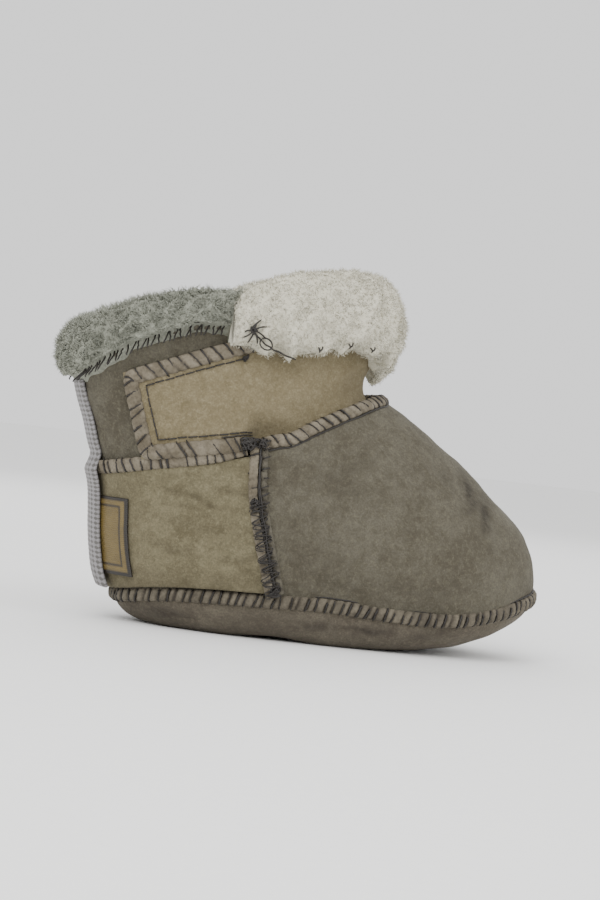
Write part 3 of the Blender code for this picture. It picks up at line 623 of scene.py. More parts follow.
def troughs(points, creases):
    """How deep the listed creases are at each point, in metres."""
    x, z = points[..., 0] / MM, points[..., 2] / MM
    total = np.zeros(x.shape)
    for x0, z0, x1, z1, depth, width in creases:
        length = math.hypot(x1 - x0, z1 - z0)
        along = ((x - x0) * (x1 - x0) + (z - z0) * (z1 - z0)) / length
        away = ((x - x0) * (z1 - z0) - (z - z0) * (x1 - x0)) / length
        away = away + 0.5 * np.sin(along * 0.55 + x0)
        ends = smooth(along / (0.3 * length)) * smooth((length - along) / (0.3 * length))
        total += depth * MM * ends * np.exp(-((away / width) ** 2))
    return total


def marks(points, patches):
    """Strength of rubbed and dirty patches at each point, from 0 to 1."""
    x, z = points[..., 0] / MM, points[..., 2] / MM
    total = np.zeros(x.shape)
    for forward, height, reach, rise, tilt, strength in patches:
        c, s = math.cos(math.radians(tilt)), math.sin(math.radians(tilt))
        u = ((x - forward) * c + (z - height) * s) / reach
        w = ((z - height) * c - (x - forward) * s) / rise
        total = np.maximum(total, strength * np.exp(-u * u - w * w))
    return total


# Meshes


def grid_quads(columns, rows, closed=False, round_rows=False):
    """Quads of a grid whose points run row by row within each column."""
    across = np.arange(columns if closed else columns - 1)
    i, j = np.meshgrid(across, np.arange(rows if round_rows else rows - 1), indexing="ij")
    i, j = i.ravel(), j.ravel()
    i2, j2 = (i + 1) % columns, (j + 1) % rows
    return np.stack([i * rows + j, i2 * rows + j, i2 * rows + j2, i * rows + j2], axis=1)


class Form:
    """A mesh being put together: points, faces and one value per point of each named layer."""

    def __init__(self):
        self.points, self.faces, self.layers, self.count = [], [], {}, 0

    def add(self, points, faces, **layers):
        points = points.reshape(-1, 3)
        for name in {**self.layers, **layers}:
            values = self.layers.setdefault(name, [np.zeros(self.count)])
            layer = np.asarray(layers.get(name, 0.0), float).ravel()
            values.append(np.broadcast_to(layer, len(points)))
        self.points.append(points)
        self.faces += [(group + self.count) for group in faces]
        self.count += len(points)

    def make(self, name, material, replaced=()):
        points = np.concatenate(self.points)
        mesh = bpy.data.meshes.new(name)
        mesh.from_pydata(points, [], [face for group in self.faces for face in group.tolist()])
        for layer, values in self.layers.items():
            attribute = mesh.attributes.new(layer, "FLOAT", "POINT")
            attribute.data.foreach_set("value", np.concatenate(values))
        if mesh.validate():
            raise RuntimeError(f"{name} has faulty faces")
        mesh.shade_smooth()
        mesh.materials.append(material)
        piece = bpy.data.objects.new(name, mesh)
        bpy.context.scene.collection.objects.link(piece)
        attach(piece, "root")
        if replaced:
            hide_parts(*replaced)
        return piece


def shell_faces(quads, count):
    """Outer quads, inner quads turned round, and the rim between them along the open edges."""
    edges = np.concatenate([quads[:, [k, (k + 1) % 4]] for k in range(4)])
    code = edges[:, 0] * count + edges[:, 1]
    back = edges[:, 1] * count + edges[:, 0]
    rim = edges[~np.isin(code, back)]
    walls = np.stack([rim[:, 1], rim[:, 0], rim[:, 0] + count, rim[:, 1] + count], axis=1)
    return [quads, quads[:, ::-1] + count, walls]


def add_shell(form, outer, inner, quads, **layers):
    """A closed sheet: its outer points, inner points and the quads of the outer side."""
    both = np.concatenate([outer.reshape(-1, 3), inner.reshape(-1, 3)])
    shape = outer.shape[:-1]
    doubled = {name: np.tile(np.broadcast_to(layer, shape).ravel(), 2) for name, layer in layers.items()}
    form.add(both, shell_faces(quads, outer.size // 3), **doubled)


def add_tubes(form, paths, radius):
    """Round threads along paths (thread, step, xyz), closed by a point at each end."""
    count, steps, _ = paths.shape
    sides = THREAD_SIDES
    along = unit(np.gradient(paths, axis=1))
    guide = np.where(np.abs(along[:, :1, 2:]) < 0.9, [[[0, 0, 1.0]]], [[[1.0, 0, 0]]])
    side = unit(np.cross(along, guide))
    up = np.cross(side, along)
    angle = math.tau * np.arange(sides) / sides
    size = np.broadcast_to(np.asarray(radius, float).reshape(-1, 1), (count, steps)).copy()
    size[:, [0, -1]] *= 0.6
    ring = np.cos(angle)[:, None] * side[:, :, None] + np.sin(angle)[:, None] * up[:, :, None]
    tube = paths[:, :, None] + ring * size[:, :, None, None]
    tips = paths[:, [0, -1]] + along[:, [0, -1]] * size[:, [0, -1], None] * np.array([[[-1.0], [1.0]]])
    points = np.concatenate([tube.reshape(count, -1, 3), tips], axis=1)
    quads = grid_quads(steps, sides, round_rows=True)
    k = np.arange(sides)
    end = (steps - 1) * sides
    first = np.stack([np.full(sides, steps * sides), k, (k + 1) % sides], axis=1)
    final = np.stack([np.full(sides, steps * sides + 1), end + (k + 1) % sides, end + k], axis=1)
    each = (np.arange(count) * (steps * sides + 2))[:, None, None]
    groups = quads[:, ::-1], first[:, ::-1], final[:, ::-1]
    form.add(points, [(group[None] + each).reshape(-1, group.shape[1]) for group in groups])


def add_strands(form, roots, ways, curls, radius, tone):
    """Tufts of wool: three-sided, from root to a point, bent by their curl."""
    count, sides = len(roots), TUFT_SIDES
    side = unit(np.cross(ways, ways[:, [1, 2, 0]] + 0.3))
    up = unit(np.cross(side, ways))
    angle = math.tau * np.arange(sides) / sides
    ring = np.cos(angle)[None, :, None] * side[:, None] + np.sin(angle)[None, :, None] * up[:, None]
    radius = np.broadcast_to(radius, count)[:, None, None]
    rings = []
    for share, size in ((-0.12, 1.0), (0.5, 0.85)):
        middle = roots + ways * share + curls * share * (1.4 - share)
        rings.append(middle[:, None] + ring * radius * size)
    tip = (roots + ways + curls * 0.4)[:, None]
    points = np.concatenate([*rings, tip], axis=1)
    each_has = 2 * sides + 1
    k = np.arange(sides)
    after = (k + 1) % sides
    quads = np.stack([k, after, after + sides, k + sides], axis=1)
    ends = np.stack([k + sides, after + sides, np.full(sides, 2 * sides)], axis=1)
    ends = np.concatenate([ends, k[None, ::-1]])
    each = (np.arange(count) * each_has)[:, None, None]
    faces = [(quads[None] + each).reshape(-1, 4), (ends[None] + each).reshape(-1, 3)]
    grow = np.tile([0.1] * sides + [0.65] * sides + [1.0], count)
    form.add(points, faces, tip=grow, tone=np.repeat(tone, each_has))


# Seams and threads, placed along, across and out of an edge


def run_length(points):
    """Distance along a line of points, from its start to each of them."""
    return np.concatenate([[0], np.cumsum(np.linalg.norm(np.diff(points, axis=0), axis=1))])


def read_along(at, gone, values):
    return np.stack([np.interp(at, gone, values[:, c]) for c in range(3)], axis=-1)


class Edge:
    """A cut edge or seam: points along it, with the ways across the sheet and out of it."""

    def __init__(self, points, outward, inward_side=1, closed=False):
        if closed:
            points = np.concatenate([points, points[:1]])
            outward = np.concatenate([outward, outward[:1]])
        gone = run_length(points)
        self.length, self.closed = gone[-1], closed
        self.count = int(self.length / EDGE_STEP) + 1
        self.at = np.linspace(0, self.length, self.count)
        self.points = read_along(self.at, gone, points)
        self.outward = unit(read_along(self.at, gone, outward))
        along = unit(np.gradient(self.points, axis=0))
        self.across = unit(np.cross(self.outward, along)) * inward_side

    def place(self, at, across, out):
        """World points for places along, across and out of the edge, in metres."""
        at, across, out = np.broadcast_arrays(at, across, out)
        at = at % self.length if self.closed else np.clip(at, 0, self.length)
        point, side, face = (read_along(at, self.at, v) for v in (self.points, self.across, self.outward))
        return point + side * across[..., None] + face * out[..., None]


def stitch_places(edge, pitch, seed, start=0.0, stop=None):
    """Where a hand-guided machine puts its stitches: nearly even, never quite."""
    rng = np.random.default_rng(seed)
    stop = edge.length if stop is None else stop
    count = max(2, round((stop - start) / pitch))
    even = start + (np.arange(count) + 0.5) * (stop - start) / count
    return even + rng.uniform(-0.19, 0.19, count) * pitch


def end_caps(stations, around):
    """The two faces that close a roll."""
    ring = np.arange(around)
    return [ring[None, ::-1], (stations - 1) * around + ring[None]]


def bulge(across, roll):
    """Height of a roll's section across it, from 0 to 1."""
    t = np.clip(np.abs(2 * (across - roll.low) / (roll.high - roll.low) - 1), 0, 1)
    return (1 - t**2.4) ** (1 / 2.4)


def roll_stitches(edge, roll, pitch):
    """Places of the stitches over a rolled edge, the same for the roll and for its thread."""
    return stitch_places(edge, roll.spacing * pitch, roll.seed)


def pinched(edge, at, across, places, slant):
    """How tight the thread pulls the roll in, from 0 between stitches to 1 under one."""
    if edge.closed:
        places = np.concatenate([places - edge.length, places, places + edge.length])
    places = np.sort(places)
    here = at - slant * across
    k = np.clip(np.searchsorted(places, here), 1, len(places) - 1)
    away = np.minimum(np.abs(here - places[k - 1]), np.abs(places[k] - here))
    return np.exp(-((away / (0.5 * MM)) ** 2))


def add_roll(form, edge, roll, pitch, groove=0.0):
    """The puffed edge of a sheet, pulled in under each stitch, with a groove along its middle."""
    sides = EDGE_SIDES
    angle = math.tau * np.arange(sides) / sides
    centre = (roll.low + roll.high) / 2
    across = centre + (roll.high - roll.low) / 2 * bent(np.cos(angle), 0.85)
    at, across = np.meshgrid(edge.at, across, indexing="ij")
    top = np.broadcast_to(np.sin(angle) >= 0, at.shape)
    tight = pinched(edge, at, across, roll_stitches(edge, roll, pitch), roll.slant)
    middle = np.exp(-(((across - centre) / (0.35 * MM)) ** 2))
    along = np.stack([at, at * 0, at * 0], -1)
    swell = 1 - roll.pull * tight * (1 + 0.5 * waves(along, 4 * MM, 4)) - groove * middle
    swell += 0.12 * waves(along, 7 * MM, 3) + 0.10 * waves(np.stack([at, across, at * 0], -1), 1.8 * MM, 5)
    rise = np.broadcast_to(bent(np.abs(np.sin(angle)), 0.75), at.shape)
    out = np.where(top, roll.proud * rise * swell, -roll.under * rise)
    points = edge.place(at, centre + (across - centre) * (1 - 0.10 * tight), out)
    # painted shade: darker under each stitch's pinch, and a little darker all along the roll's underside
    shade = np.where(top, tight * (0.65 + 0.5 * waves(along, 5 * MM, 6)), 0.3)
    count = edge.count - edge.closed
    faces = [grid_quads(count, sides, closed=edge.closed, round_rows=True)]
    if not edge.closed:
        faces += end_caps(count, sides)
    form.add(points[:count], faces, pinch=shade[:count])


def add_overcast(form, edge, roll, places, radius, seed, wrap=0.8 * MM):
    """Slanted threads over a roll: down into the sheet at one side, round its edge at the other."""
    rng = np.random.default_rng(seed)
    share = np.linspace(0, 1, 9)
    places = places[rng.uniform(size=len(places)) > 0.06]
    begin = roll.high + rng.uniform(-1.3, 0.6, (len(places), 1)) * MM
    across = lerp(begin, roll.low - 0.15 * MM, share)
    lean = roll.slant + rng.uniform(-0.22, 0.22, (len(places), 1))
    at = places[:, None] + lean * across + rng.normal(0, 0.06 * MM, (len(places), 9))
    out = roll.proud * 0.72 * bulge(across, roll) + 0.5 * radius
    out[:, 0] = -0.2 * MM
    out[:, -1] = -wrap
    add_tubes(form, edge.place(at, across, out), radius * rng.uniform(0.7, 1.35, len(places)))


def add_line(form, edge, start, stop, across, out, radius, wobble=0.12 * MM, seed=5):
    """One long thread laid along a seam."""
    rng = np.random.default_rng(seed)
    steps = max(12, int(abs(stop - start) / (0.8 * MM)))
    at = np.linspace(start, stop, steps)
    drift = np.convolve(rng.normal(0, 1, steps + 8), np.ones(5) / 5, mode="same")[4:-4] * wobble
    add_tubes(form, edge.place(at, across + drift, out + np.abs(drift) * 0.5)[None], radius)


def add_running(form, edge, start, stop, pitch, radius, out):
    """A straight line of lockstitches: short threads that dip at each hole."""
    rng = np.random.default_rng(7)
    begin = np.arange(start, stop - pitch * 0.5, pitch)[:, None]
    share = np.array([0.03, 0.12, 0.3, 0.5, 0.7, 0.88, 0.97])
    at = begin + pitch * share
    dip = out + radius * np.array([-1.2, 0.3, 0.75, 0.8, 0.75, 0.3, -1.2])
    sway = rng.normal(0, 0.08 * MM, begin.shape)
    add_tubes(form, edge.place(at, sway, dip), radius)


def add_tangle(form, edge, at, across, size, turns, radius, seed, out):
    """A knot: a thread wound over itself in a small flat heap."""
    rng = np.random.default_rng(seed)
    steps = 14 * turns
    t = np.linspace(0, math.tau * turns, steps)
    a = size * (0.75 * np.sin(t + rng.uniform(0, 6)) + 0.35 * np.sin(2.3 * t + rng.uniform(0, 6)))
    b = size * (0.65 * np.cos(1.13 * t + rng.uniform(0, 6)) + 0.30 * np.sin(3.1 * t + rng.uniform(0, 6)))
    c = out + radius * (1.2 + 1.2 * np.sin(1.7 * t + rng.uniform(0, 6)))
    add_tubes(form, edge.place(at + a, across + b, c)[None], radius)


# Edges of the bootie


def sole_edge():
    """The seam round the sole."""
    turn = np.linspace(0, math.tau, 721)[:-1]
    height = seam_height(turn)
    return Edge(last(turn, height), level_out(turn, height), closed=True)


def vamp_edge():
    share = np.linspace(-1, 1, 401)
    height = vamp_height(1 - np.abs(share))
    turn = side_seam_turn(height) * share
    return Edge(skin(turn, height), normal_of(last, turn, height), inward_side=-1)


def side_edge(side, proud=0.0):
    """The seam between heel panel and vamp, from the sole up."""
    height = np.linspace(SEAM_HEIGHT * 1.25, vamp_height(0), 160)
    turn = side_seam_turn(height) * side
    return Edge(skin(turn, height, proud), normal_of(last, turn, height), inward_side=-side)


def panel_edge():
    share = np.linspace(-1, 1, 401)
    turn = from_back(share, side_seam_turn(panel_height(PANEL_MIDDLE)))
    height = panel_height(np.abs(share))
    return Edge(skin(turn, height, PANEL_PROUD), normal_of(last, turn, height), inward_side=-1)


def strap_outline():
    """Round one wing: along its lower edge to the free end, up it, and back along the top."""
    reach = np.linspace(1.0, 0, 124)
    low = wing_point(reach, 0.0)
    end = wing_point(np.zeros(60), np.linspace(0, 1, 60))
    high = wing_point(np.linspace(0, 0.86, 118), 1.0)
    forward = np.concatenate([low[0], end[0][1:-1], high[0]])
    height = np.concatenate([low[1], end[1][1:-1], high[1]])
    for _ in range(60):
        forward[1:-1] = (forward[:-2] + 2 * forward[1:-1] + forward[2:]) / 4
        height[1:-1] = (height[:-2] + 2 * height[1:-1] + height[2:]) / 4
    return np.stack([forward, height], axis=1)


def strap_edge(side, inset=0.0):
    """The wing's outline, or the line that far inside it."""
    line = outline = strap_outline()
    if inset:
        along = unit(np.gradient(outline, axis=0))
        line = outline + inset * np.stack([along[:, 1], -along[:, 0]], axis=1)
        away = np.linalg.norm(line[:, None] - outline[None], axis=-1).min(axis=1)
        line = line[away > 0.985 * inset]
    forward, height = line.T
    turn = turn_at(forward, height) * side
    return Edge(tongue_face(turn, height), normal_of(last, turn, height), inward_side=side)


def collar_edge():
    share = np.linspace(-1, 1, 401)
    height = collar_height(np.abs(share))
    turn = from_back(share, turn_at(SHAFT_EDGE, height))
    return Edge(skin(turn, height), normal_of(last, turn, height), inward_side=-1)


# Materials


def linear(code):
    """An sRGB hex colour as linear red, green and blue."""
    parts = [int(code[k : k + 2], 16) / 255 for k in (0, 2, 4)]
    return tuple(c / 12.92 if c <= 0.04045 else ((c + 0.055) / 1.055) ** 2.4 for c in parts)


def rgba(colour, shade=1.0):
    return (*(c * shade for c in colour), 1.0)


def add(tree, kind, inputs, output=0, **settings):
    """Adds a node with its settings, links or sets its inputs, and returns one of its outputs."""
    node = tree.nodes.new(kind)
    for name, value in settings.items():
        setattr(node, name, value)
    for name, value in inputs.items():
        if isinstance(value, bpy.types.NodeSocket):
            tree.links.new(value, node.inputs[name])
        else:
            node.inputs[name].default_value = value
    return node.outputs[output]


# The kinds of node that the materials use most
NOISE, RANGE, MIX = "ShaderNodeTexNoise", "ShaderNodeMapRange", "ShaderNodeMix"
MATH, BUMP, ATTRIBUTE = "ShaderNodeMath", "ShaderNodeBump", "ShaderNodeAttribute"
# A colour mix node's two colours and its result, by socket number
FIRST, SECOND, MIXED = 6, 7, 2


def new_material(name, roughness, sheen, sheen_tint, ior=1.45):
    """A bare Principled material, its node tree, and the piece's own coordinates in millimetres,
    so that a pattern's scale is a real size."""
    material = bpy.data.materials.new(name)
    material.use_nodes = True
    tree = material.node_tree
    shader = tree.nodes["Principled BSDF"]
    shader.inputs["Roughness"].default_value = roughness
    shader.inputs["IOR"].default_value = ior
    shader.inputs["Sheen Weight"].default_value = sheen
    shader.inputs["Sheen Roughness"].default_value = 0.5
    shader.inputs["Sheen Tint"].default_value = rgba(sheen_tint)
    place_on = add(tree, "ShaderNodeTexCoord", {}, "Object")
    where = add(tree, "ShaderNodeVectorMath", {0: place_on, "Scale": 1 / MM}, operation="SCALE")
    return material, tree, where


def give_surface(tree, tone, relief=None):
    """Links a colour, and a relief where there is one, to the material's shader."""
    shader = tree.nodes["Principled BSDF"]
    tree.links.new(tone, shader.inputs["Base Color"])
    if relief:
        tree.links.new(relief, shader.inputs["Normal"])


def suede(name, light, dark, fleck, dirt, clouding=1.0):
    """Split sheepskin, flesh side out and brushed: dead matt, clouded where the nap lies another
    way, with paler flecks of short fibre, and darker where it is rubbed and soiled, with painted
    shade in its creases and next to the floor, and a darkening just above the sole seam. The nap's
    fibres, a tenth of a millimetre wide, are drawn half a millimetre wide so that they show, with
    painted shade between them."""
    material, tree, where = new_material(name, 0.95, 0.22, light)
    cloud = add(tree, NOISE, {"Vector": where, "Scale": 1 / 13, "Detail": 4, "Roughness": 0.6})
    brushed = {"Vector": where, "Scale": 1 / 3.2, "Detail": 5, "Roughness": 0.68, "Distortion": 0.7}
    streak = add(tree, NOISE, brushed)
    speckle = add(tree, NOISE, {"Vector": where, "Scale": 1 / 1.1, "Detail": 3, "Roughness": 0.7})
    nap = add(tree, NOISE, {"Vector": where, "Scale": 1 / 0.5, "Detail": 2, "Roughness": 0.6})

    stretch = {"Value": streak, "From Min": 0.3, "From Max": 0.7, "To Min": -0.24, "To Max": 0.24}
    tone = add(tree, MATH, {0: cloud, 1: add(tree, RANGE, stretch)}, operation="ADD")
    half = 0.30 / clouding
    share = add(tree, RANGE, {"Value": tone, "From Min": 0.5 - half, "From Max": 0.5 + half})
    colours = {0: share, FIRST: rgba(dark), SECOND: rgba(light)}
    base = add(tree, MIX, colours, MIXED, data_type="RGBA")

    pale = {"Value": speckle, "From Min": 0.50, "From Max": 0.66, "To Max": 0.55}
    colours = {0: add(tree, RANGE, pale), FIRST: base, SECOND: rgba(fleck)}
    flecked = add(tree, MIX, colours, MIXED, data_type="RGBA")

    patchy = {"Vector": where, "Scale": 1 / 2.4, "Detail": 4, "Roughness": 0.7}
    broken = {"Value": add(tree, NOISE, patchy), "From Min": 0.34, "From Max": 0.62, "To Min": 0.35}
    # The layer holds rubbed and soiled patches, painted shade in creases and next to the floor, and a
    # darkening just above the sole seam.
    laid = add(tree, ATTRIBUTE, {}, "Fac", attribute_name="dirt")
    amount = {0: laid, 1: add(tree, RANGE, broken)}
    colours = {0: add(tree, MATH, amount, operation="MULTIPLY"), FIRST: flecked, SECOND: rgba(dirt)}
    soiled_and_shaded = add(tree, MIX, colours, MIXED, data_type="RGBA")

    shadowed = {"Value": nap, "From Min": 0.36, "From Max": 0.64, "To Max": 0.42}
    colours = {0: add(tree, RANGE, shadowed), FIRST: soiled_and_shaded, SECOND: rgba(dark, 0.55)}
    tone = add(tree, MIX, colours, MIXED, data_type="RGBA")

    relief = add(tree, BUMP, {"Height": cloud, "Distance": 0.30 * MM})
    relief = add(tree, BUMP, {"Height": streak, "Distance": 0.32 * MM, "Normal": relief})
    relief = add(tree, BUMP, {"Height": nap, "Distance": 0.13 * MM, "Normal": relief})
    give_surface(tree, tone, relief)
    return material


def rolled_edge(name, light, dark, dirt):
    """The cut edge of the skin, rolled over and squeezed by the thread: paler than the nap, a
    little smoother, worn darker in places, with painted shade in each pinch and on its underside."""
    material, tree, where = new_material(name, 0.85, 0.12, light)
    patch = add(tree, NOISE, {"Vector": where, "Scale": 1 / 5, "Detail": 4, "Roughness": 0.6})
    fibre = add(tree, NOISE, {"Vector": where, "Scale": 1 / 0.7, "Detail": 3, "Roughness": 0.65})
    share = add(tree, RANGE, {"Value": patch, "From Min": 0.36, "From Max": 0.66})
    base = add(tree, MIX, {0: share, FIRST: rgba(dark), SECOND: rgba(light)}, MIXED, data_type="RGBA")

    rubbed = {"Value": fibre, "From Min": 0.45, "From Max": 0.75, "To Max": 0.45}
    colours = {0: add(tree, RANGE, rubbed), FIRST: base, SECOND: rgba(dirt)}
    worn = add(tree, MIX, colours, MIXED, data_type="RGBA")

    # painted shade: darker in each pinch and on the roll's underside
    pinch = add(tree, ATTRIBUTE, {}, "Fac", attribute_name="pinch")
    tight = {"Value": pinch, "From Min": 0.1, "From Max": 0.9, "To Max": 0.85}
    colours = {0: add(tree, RANGE, tight), FIRST: worn, SECOND: rgba(dirt)}
    tone = add(tree, MIX, colours, MIXED, data_type="RGBA")

    relief = add(tree, BUMP, {"Height": patch, "Distance": 0.20 * MM})
    relief = add(tree, BUMP, {"Height": fibre, "Distance": 0.16 * MM, "Normal": relief})
    give_surface(tree, tone, relief)
    return material


def spun_thread(name, light, dark):
    """Three-ply spun polyester sewing thread: dark, with a faint gleam along its plies."""
    material, tree, where = new_material(name, 0.6, 0.1, light, 1.55)
    ply = add(tree, NOISE, {"Vector": where, "Scale": 1 / 0.45, "Detail": 2})
    share = add(tree, RANGE, {"Value": ply, "From Min": 0.35, "From Max": 0.7})
    tone = add(tree, MIX, {0: share, FIRST: rgba(dark), SECOND: rgba(light)}, MIXED, data_type="RGBA")
    give_surface(tree, tone, add(tree, BUMP, {"Height": ply, "Distance": 0.08 * MM}))
    return material


def wool(name, light, dark, root, speck, clump_size):
    """Fleece on the skin: matt crimped fibre, deep in shade at its roots and pale at its tips,
    with locks that differ a little in tone and a few specks of straw."""
    material, tree, where = new_material(name, 1.0, 0.35, light, 1.55)
    lock = add(tree, NOISE, {"Vector": where, "Scale": 1 / clump_size, "Detail": 3, "Roughness": 0.55})
    crimp = add(tree, NOISE, {"Vector": where, "Scale": 1 / 0.8, "Detail": 4, "Roughness": 0.65})
    own = add(tree, ATTRIBUTE, {}, "Fac", attribute_name="tone")
    spread = add(tree, RANGE, {"Value": own, "To Min": -0.16, "To Max": 0.16})
    tone = add(tree, MATH, {0: lock, 1: spread}, operation="ADD")
    share = add(tree, RANGE, {"Value": tone, "From Min": 0.22, "From Max": 0.74})
    fleece = add(tree, MIX, {0: share, FIRST: rgba(dark), SECOND: rgba(light)}, MIXED, data_type="RGBA")

    height = add(tree, ATTRIBUTE, {}, "Fac", attribute_name="tip")
    lifted = {"Value": crimp, "From Min": 0.3, "From Max": 0.7, "To Min": -0.25, "To Max": 0.25}
    depth = add(tree, MATH, {0: height, 1: add(tree, RANGE, lifted)}, operation="ADD")
    open_up = add(tree, RANGE, {"Value": depth, "From Min": 0.05, "From Max": 0.8})
    shaded = add(tree, MIX, {0: open_up, FIRST: rgba(root), SECOND: fleece}, MIXED, data_type="RGBA")

    fleck = add(tree, NOISE, {"Vector": where, "Scale": 1 / 1.1, "Detail": 1})
    straw = add(tree, RANGE, {"Value": fleck, "From Min": 0.78, "From Max": 0.82})
    tone = add(tree, MIX, {0: straw, FIRST: shaded, SECOND: rgba(speck)}, MIXED, data_type="RGBA")
    give_surface(tree, tone, add(tree, BUMP, {"Height": crimp, "Distance": 0.5 * MM}))
    return material


def woven_tape(name, light, dark):
    """Jacquard polyester tape: light and dark yarn in a staggered lattice, 3.1 mm by 1.3 mm.
    The single yarns, 0.15 mm wide, are left to the tone between them."""
    material, tree, where = new_material(name, 0.7, 0.15, light, 1.55)
    across = add(tree, ATTRIBUTE, {}, "Fac", attribute_name="across")
    up = add(tree, ATTRIBUTE, {}, "Fac", attribute_name="up")
    broad = add(tree, MATH, {0: across, 1: TAPE_SLANT}, operation="MULTIPLY")
    yarns = []
    for operation in ("ADD", "SUBTRACT"):
        slant = add(tree, MATH, {0: broad, 1: up}, operation=operation)
        phase = add(tree, MATH, {0: slant, 1: math.tau / TAPE_LATTICE}, operation="MULTIPLY")
        yarns.append(add(tree, MATH, {0: phase}, operation="SINE"))
    lattice = add(tree, MATH, {0: yarns[0], 1: yarns[1]}, operation="MULTIPLY")
    share = add(tree, RANGE, {"Value": lattice, "From Min": -0.15, "From Max": 0.40})
    woven = add(tree, MIX, {0: share, FIRST: rgba(light), SECOND: rgba(dark)}, MIXED, data_type="RGBA")
    worn = add(tree, NOISE, {"Vector": where, "Scale": 1 / 2.2, "Detail": 3, "Roughness": 0.6})
    amount = add(tree, RANGE, {"Value": worn, "From Min": 0.45, "From Max": 0.75, "To Max": 0.3})
    tone = add(tree, MIX, {0: amount, FIRST: woven, SECOND: rgba(dark)}, MIXED, data_type="RGBA")
    give_surface(tree, tone, add(tree, BUMP, {"Height": lattice, "Distance": 0.07 * MM}))
    return material


def woven_label(name, gold, border, dirt):
    """Damask satin: fine weft ribs, half glossy on the gold, with a woven dark frame line. The
    ribs, 0.2 mm apart, are drawn 0.55 mm apart so that they show."""
    material, tree, where = new_material(name, 0.5, 0.1, gold, 1.55)
    up = add(tree, ATTRIBUTE, {}, "Fac", attribute_name="up")
    phase = add(tree, MATH, {0: up, 1: math.tau / 0.55}, operation="MULTIPLY")
    weft = add(tree, MATH, {0: phase}, operation="SINE")
    cloud = add(tree, NOISE, {"Vector": where, "Scale": 1 / 4, "Detail": 4, "Roughness": 0.6})
    share = add(tree, RANGE, {"Value": cloud, "From Min": 0.35, "From Max": 0.7, "To Max": 0.7})
    satin = add(tree, MIX, {0: share, FIRST: rgba(gold), SECOND: rgba(gold, 0.6)}, MIXED, data_type="RGBA")
    line = add(tree, ATTRIBUTE, {}, "Fac", attribute_name="frame")
    framed = add(tree, MIX, {0: line, FIRST: satin, SECOND: rgba(border)}, MIXED, data_type="RGBA")
    amount = add(tree, RANGE, {"Value": weft, "To Max": 0.2})
    tone = add(tree, MIX, {0: amount, FIRST: framed, SECOND: rgba(dirt)}, MIXED, data_type="RGBA")
    relief = add(tree, BUMP, {"Height": weft, "Distance": 0.05 * MM})
    relief = add(tree, BUMP, {"Height": cloud, "Distance": 0.1 * MM, "Normal": relief})
    give_surface(tree, tone, relief)
    return material


# Panels


def side_view_dirt_and_shade(points, patches, creases):
    """Handling marks, painted shade in the creases, and a darkening just above the sole seam."""
    over_seam = np.maximum(points[..., 2] - SEAM_HEIGHT, 0)
    by_seam = 0.45 * np.exp(-((over_seam / (5 * MM)) ** 2))
    # painted shade: darker in the creases' troughs
    crease_shade = 0.6 * np.clip(troughs(points, creases) / (0.6 * MM), 0, 1) ** 1.5
    return np.maximum(np.maximum(marks(points, patches), by_seam), crease_shade)


def dish(columns, rolls, shares):
    """Points of the turned-up bottom, ring by ring, and the ways into the shoe there. The rolls run
    from the rim (0) to the flat spot (1), and the shares from its outline (1) to its middle (0)."""
    turn = np.linspace(0, math.tau, columns + 1)[:-1]
    side = roll_point(turn[:, None], rolls[None])
    every_turn = np.broadcast_to(turn[:, None], side.shape[:2])
    into = normal_of(roll_point, every_turn, np.minimum(rolls, ROLL_END)[None])
    into[:, -1] = (0, 0, 1)
    flat_x, flat_y = level_point(turn, *footprint())
    spine = sum(footprint()[:2]) / 2
    rings, ways = [side], [into]
    for share in shares:
        forward = lerp(spine, flat_x, 1 - (1 - share) * SPINE_PULL)
        rings.append(np.stack([forward, flat_y * share, arch(forward)], axis=-1)[:, None])
        ways.append(np.broadcast_to([0.0, 0.0, 1.0], (columns, 1, 3)))
    return np.concatenate(rings, axis=1), np.concatenate(ways, axis=1)


def add_dish(form, outer, inner, **layers):
    """The closed sheet of a dish, with quads laid like rungs across its innermost ring."""
    columns, rings, _ = outer.shape
    half = columns // 2
    rung = np.arange(1, half - 1)
    ladder = np.stack([rung, rung + 1, columns - rung - 1, columns - rung], axis=1) * rings + rings - 1
    tips = np.array([[0, 1, columns - 1], [half - 1, half, half + 1]]) * rings + rings - 1
    quads = np.concatenate([grid_quads(columns, rings, closed=True), ladder])
    add_shell(form, outer, inner, quads, **layers)
    rim = form.faces[2]
    form.faces[2] = rim[(rim[:, :2] % rings != rings - 1).any(axis=1)]
    form.faces += [tips, tips[:, ::-1] + columns * rings]


def make_sole(sizes, colours):
    rolls = np.concatenate([np.linspace(0.10, ROLL_END, 34), [1.0]])
    outer, into = dish(360, rolls, (0.9, 0.8, 0.68, 0.55, 0.4, 0.25, 0.1))
    off_floor = smooth(outer[..., 2] / (2.5 * MM))
    depth = troughs(outer, SOLE_CREASES) * sizes.crease + 0.22 * MM * waves(outer, 11 * MM, 4)
    # The marks are dirt; the darkening within 4 mm of the floor is painted shade.
    dirt = np.maximum(marks(outer, SOLE_MARKS), 0.55 * (1 - smooth(outer[..., 2] / (4 * MM))))
    form = Form()
    add_dish(form, outer + into * (depth * off_floor)[..., None], outer + into * WALL, dirt=dirt)
    material = suede("suede sole", colours.sole, linear("4B443A"), linear("6A6255"), linear("2E2822"))
    form.make("sole_suede", material, ["sole"])


def upper_ring():
    """Turn of every column of the upper at each height, by region, once round from the toe."""
    half = []
    for share in np.linspace(1, 0, 62):
        half.append(("vamp", lambda z, f=share: side_seam_turn(z) * (1 - f), share))
    half.append(("slot", lambda z: turn_at(side_seam(z) - SLOT_WIDTH, z), 0.0))
    for share in np.linspace(1, 0, 44):
        half.append(("shaft", lambda z, f=share: lerp(math.pi, turn_at(SHAFT_EDGE, z), f), share))
    return [(1, c) for c in half] + [(-1, c) for c in reversed(half[1:-1])]


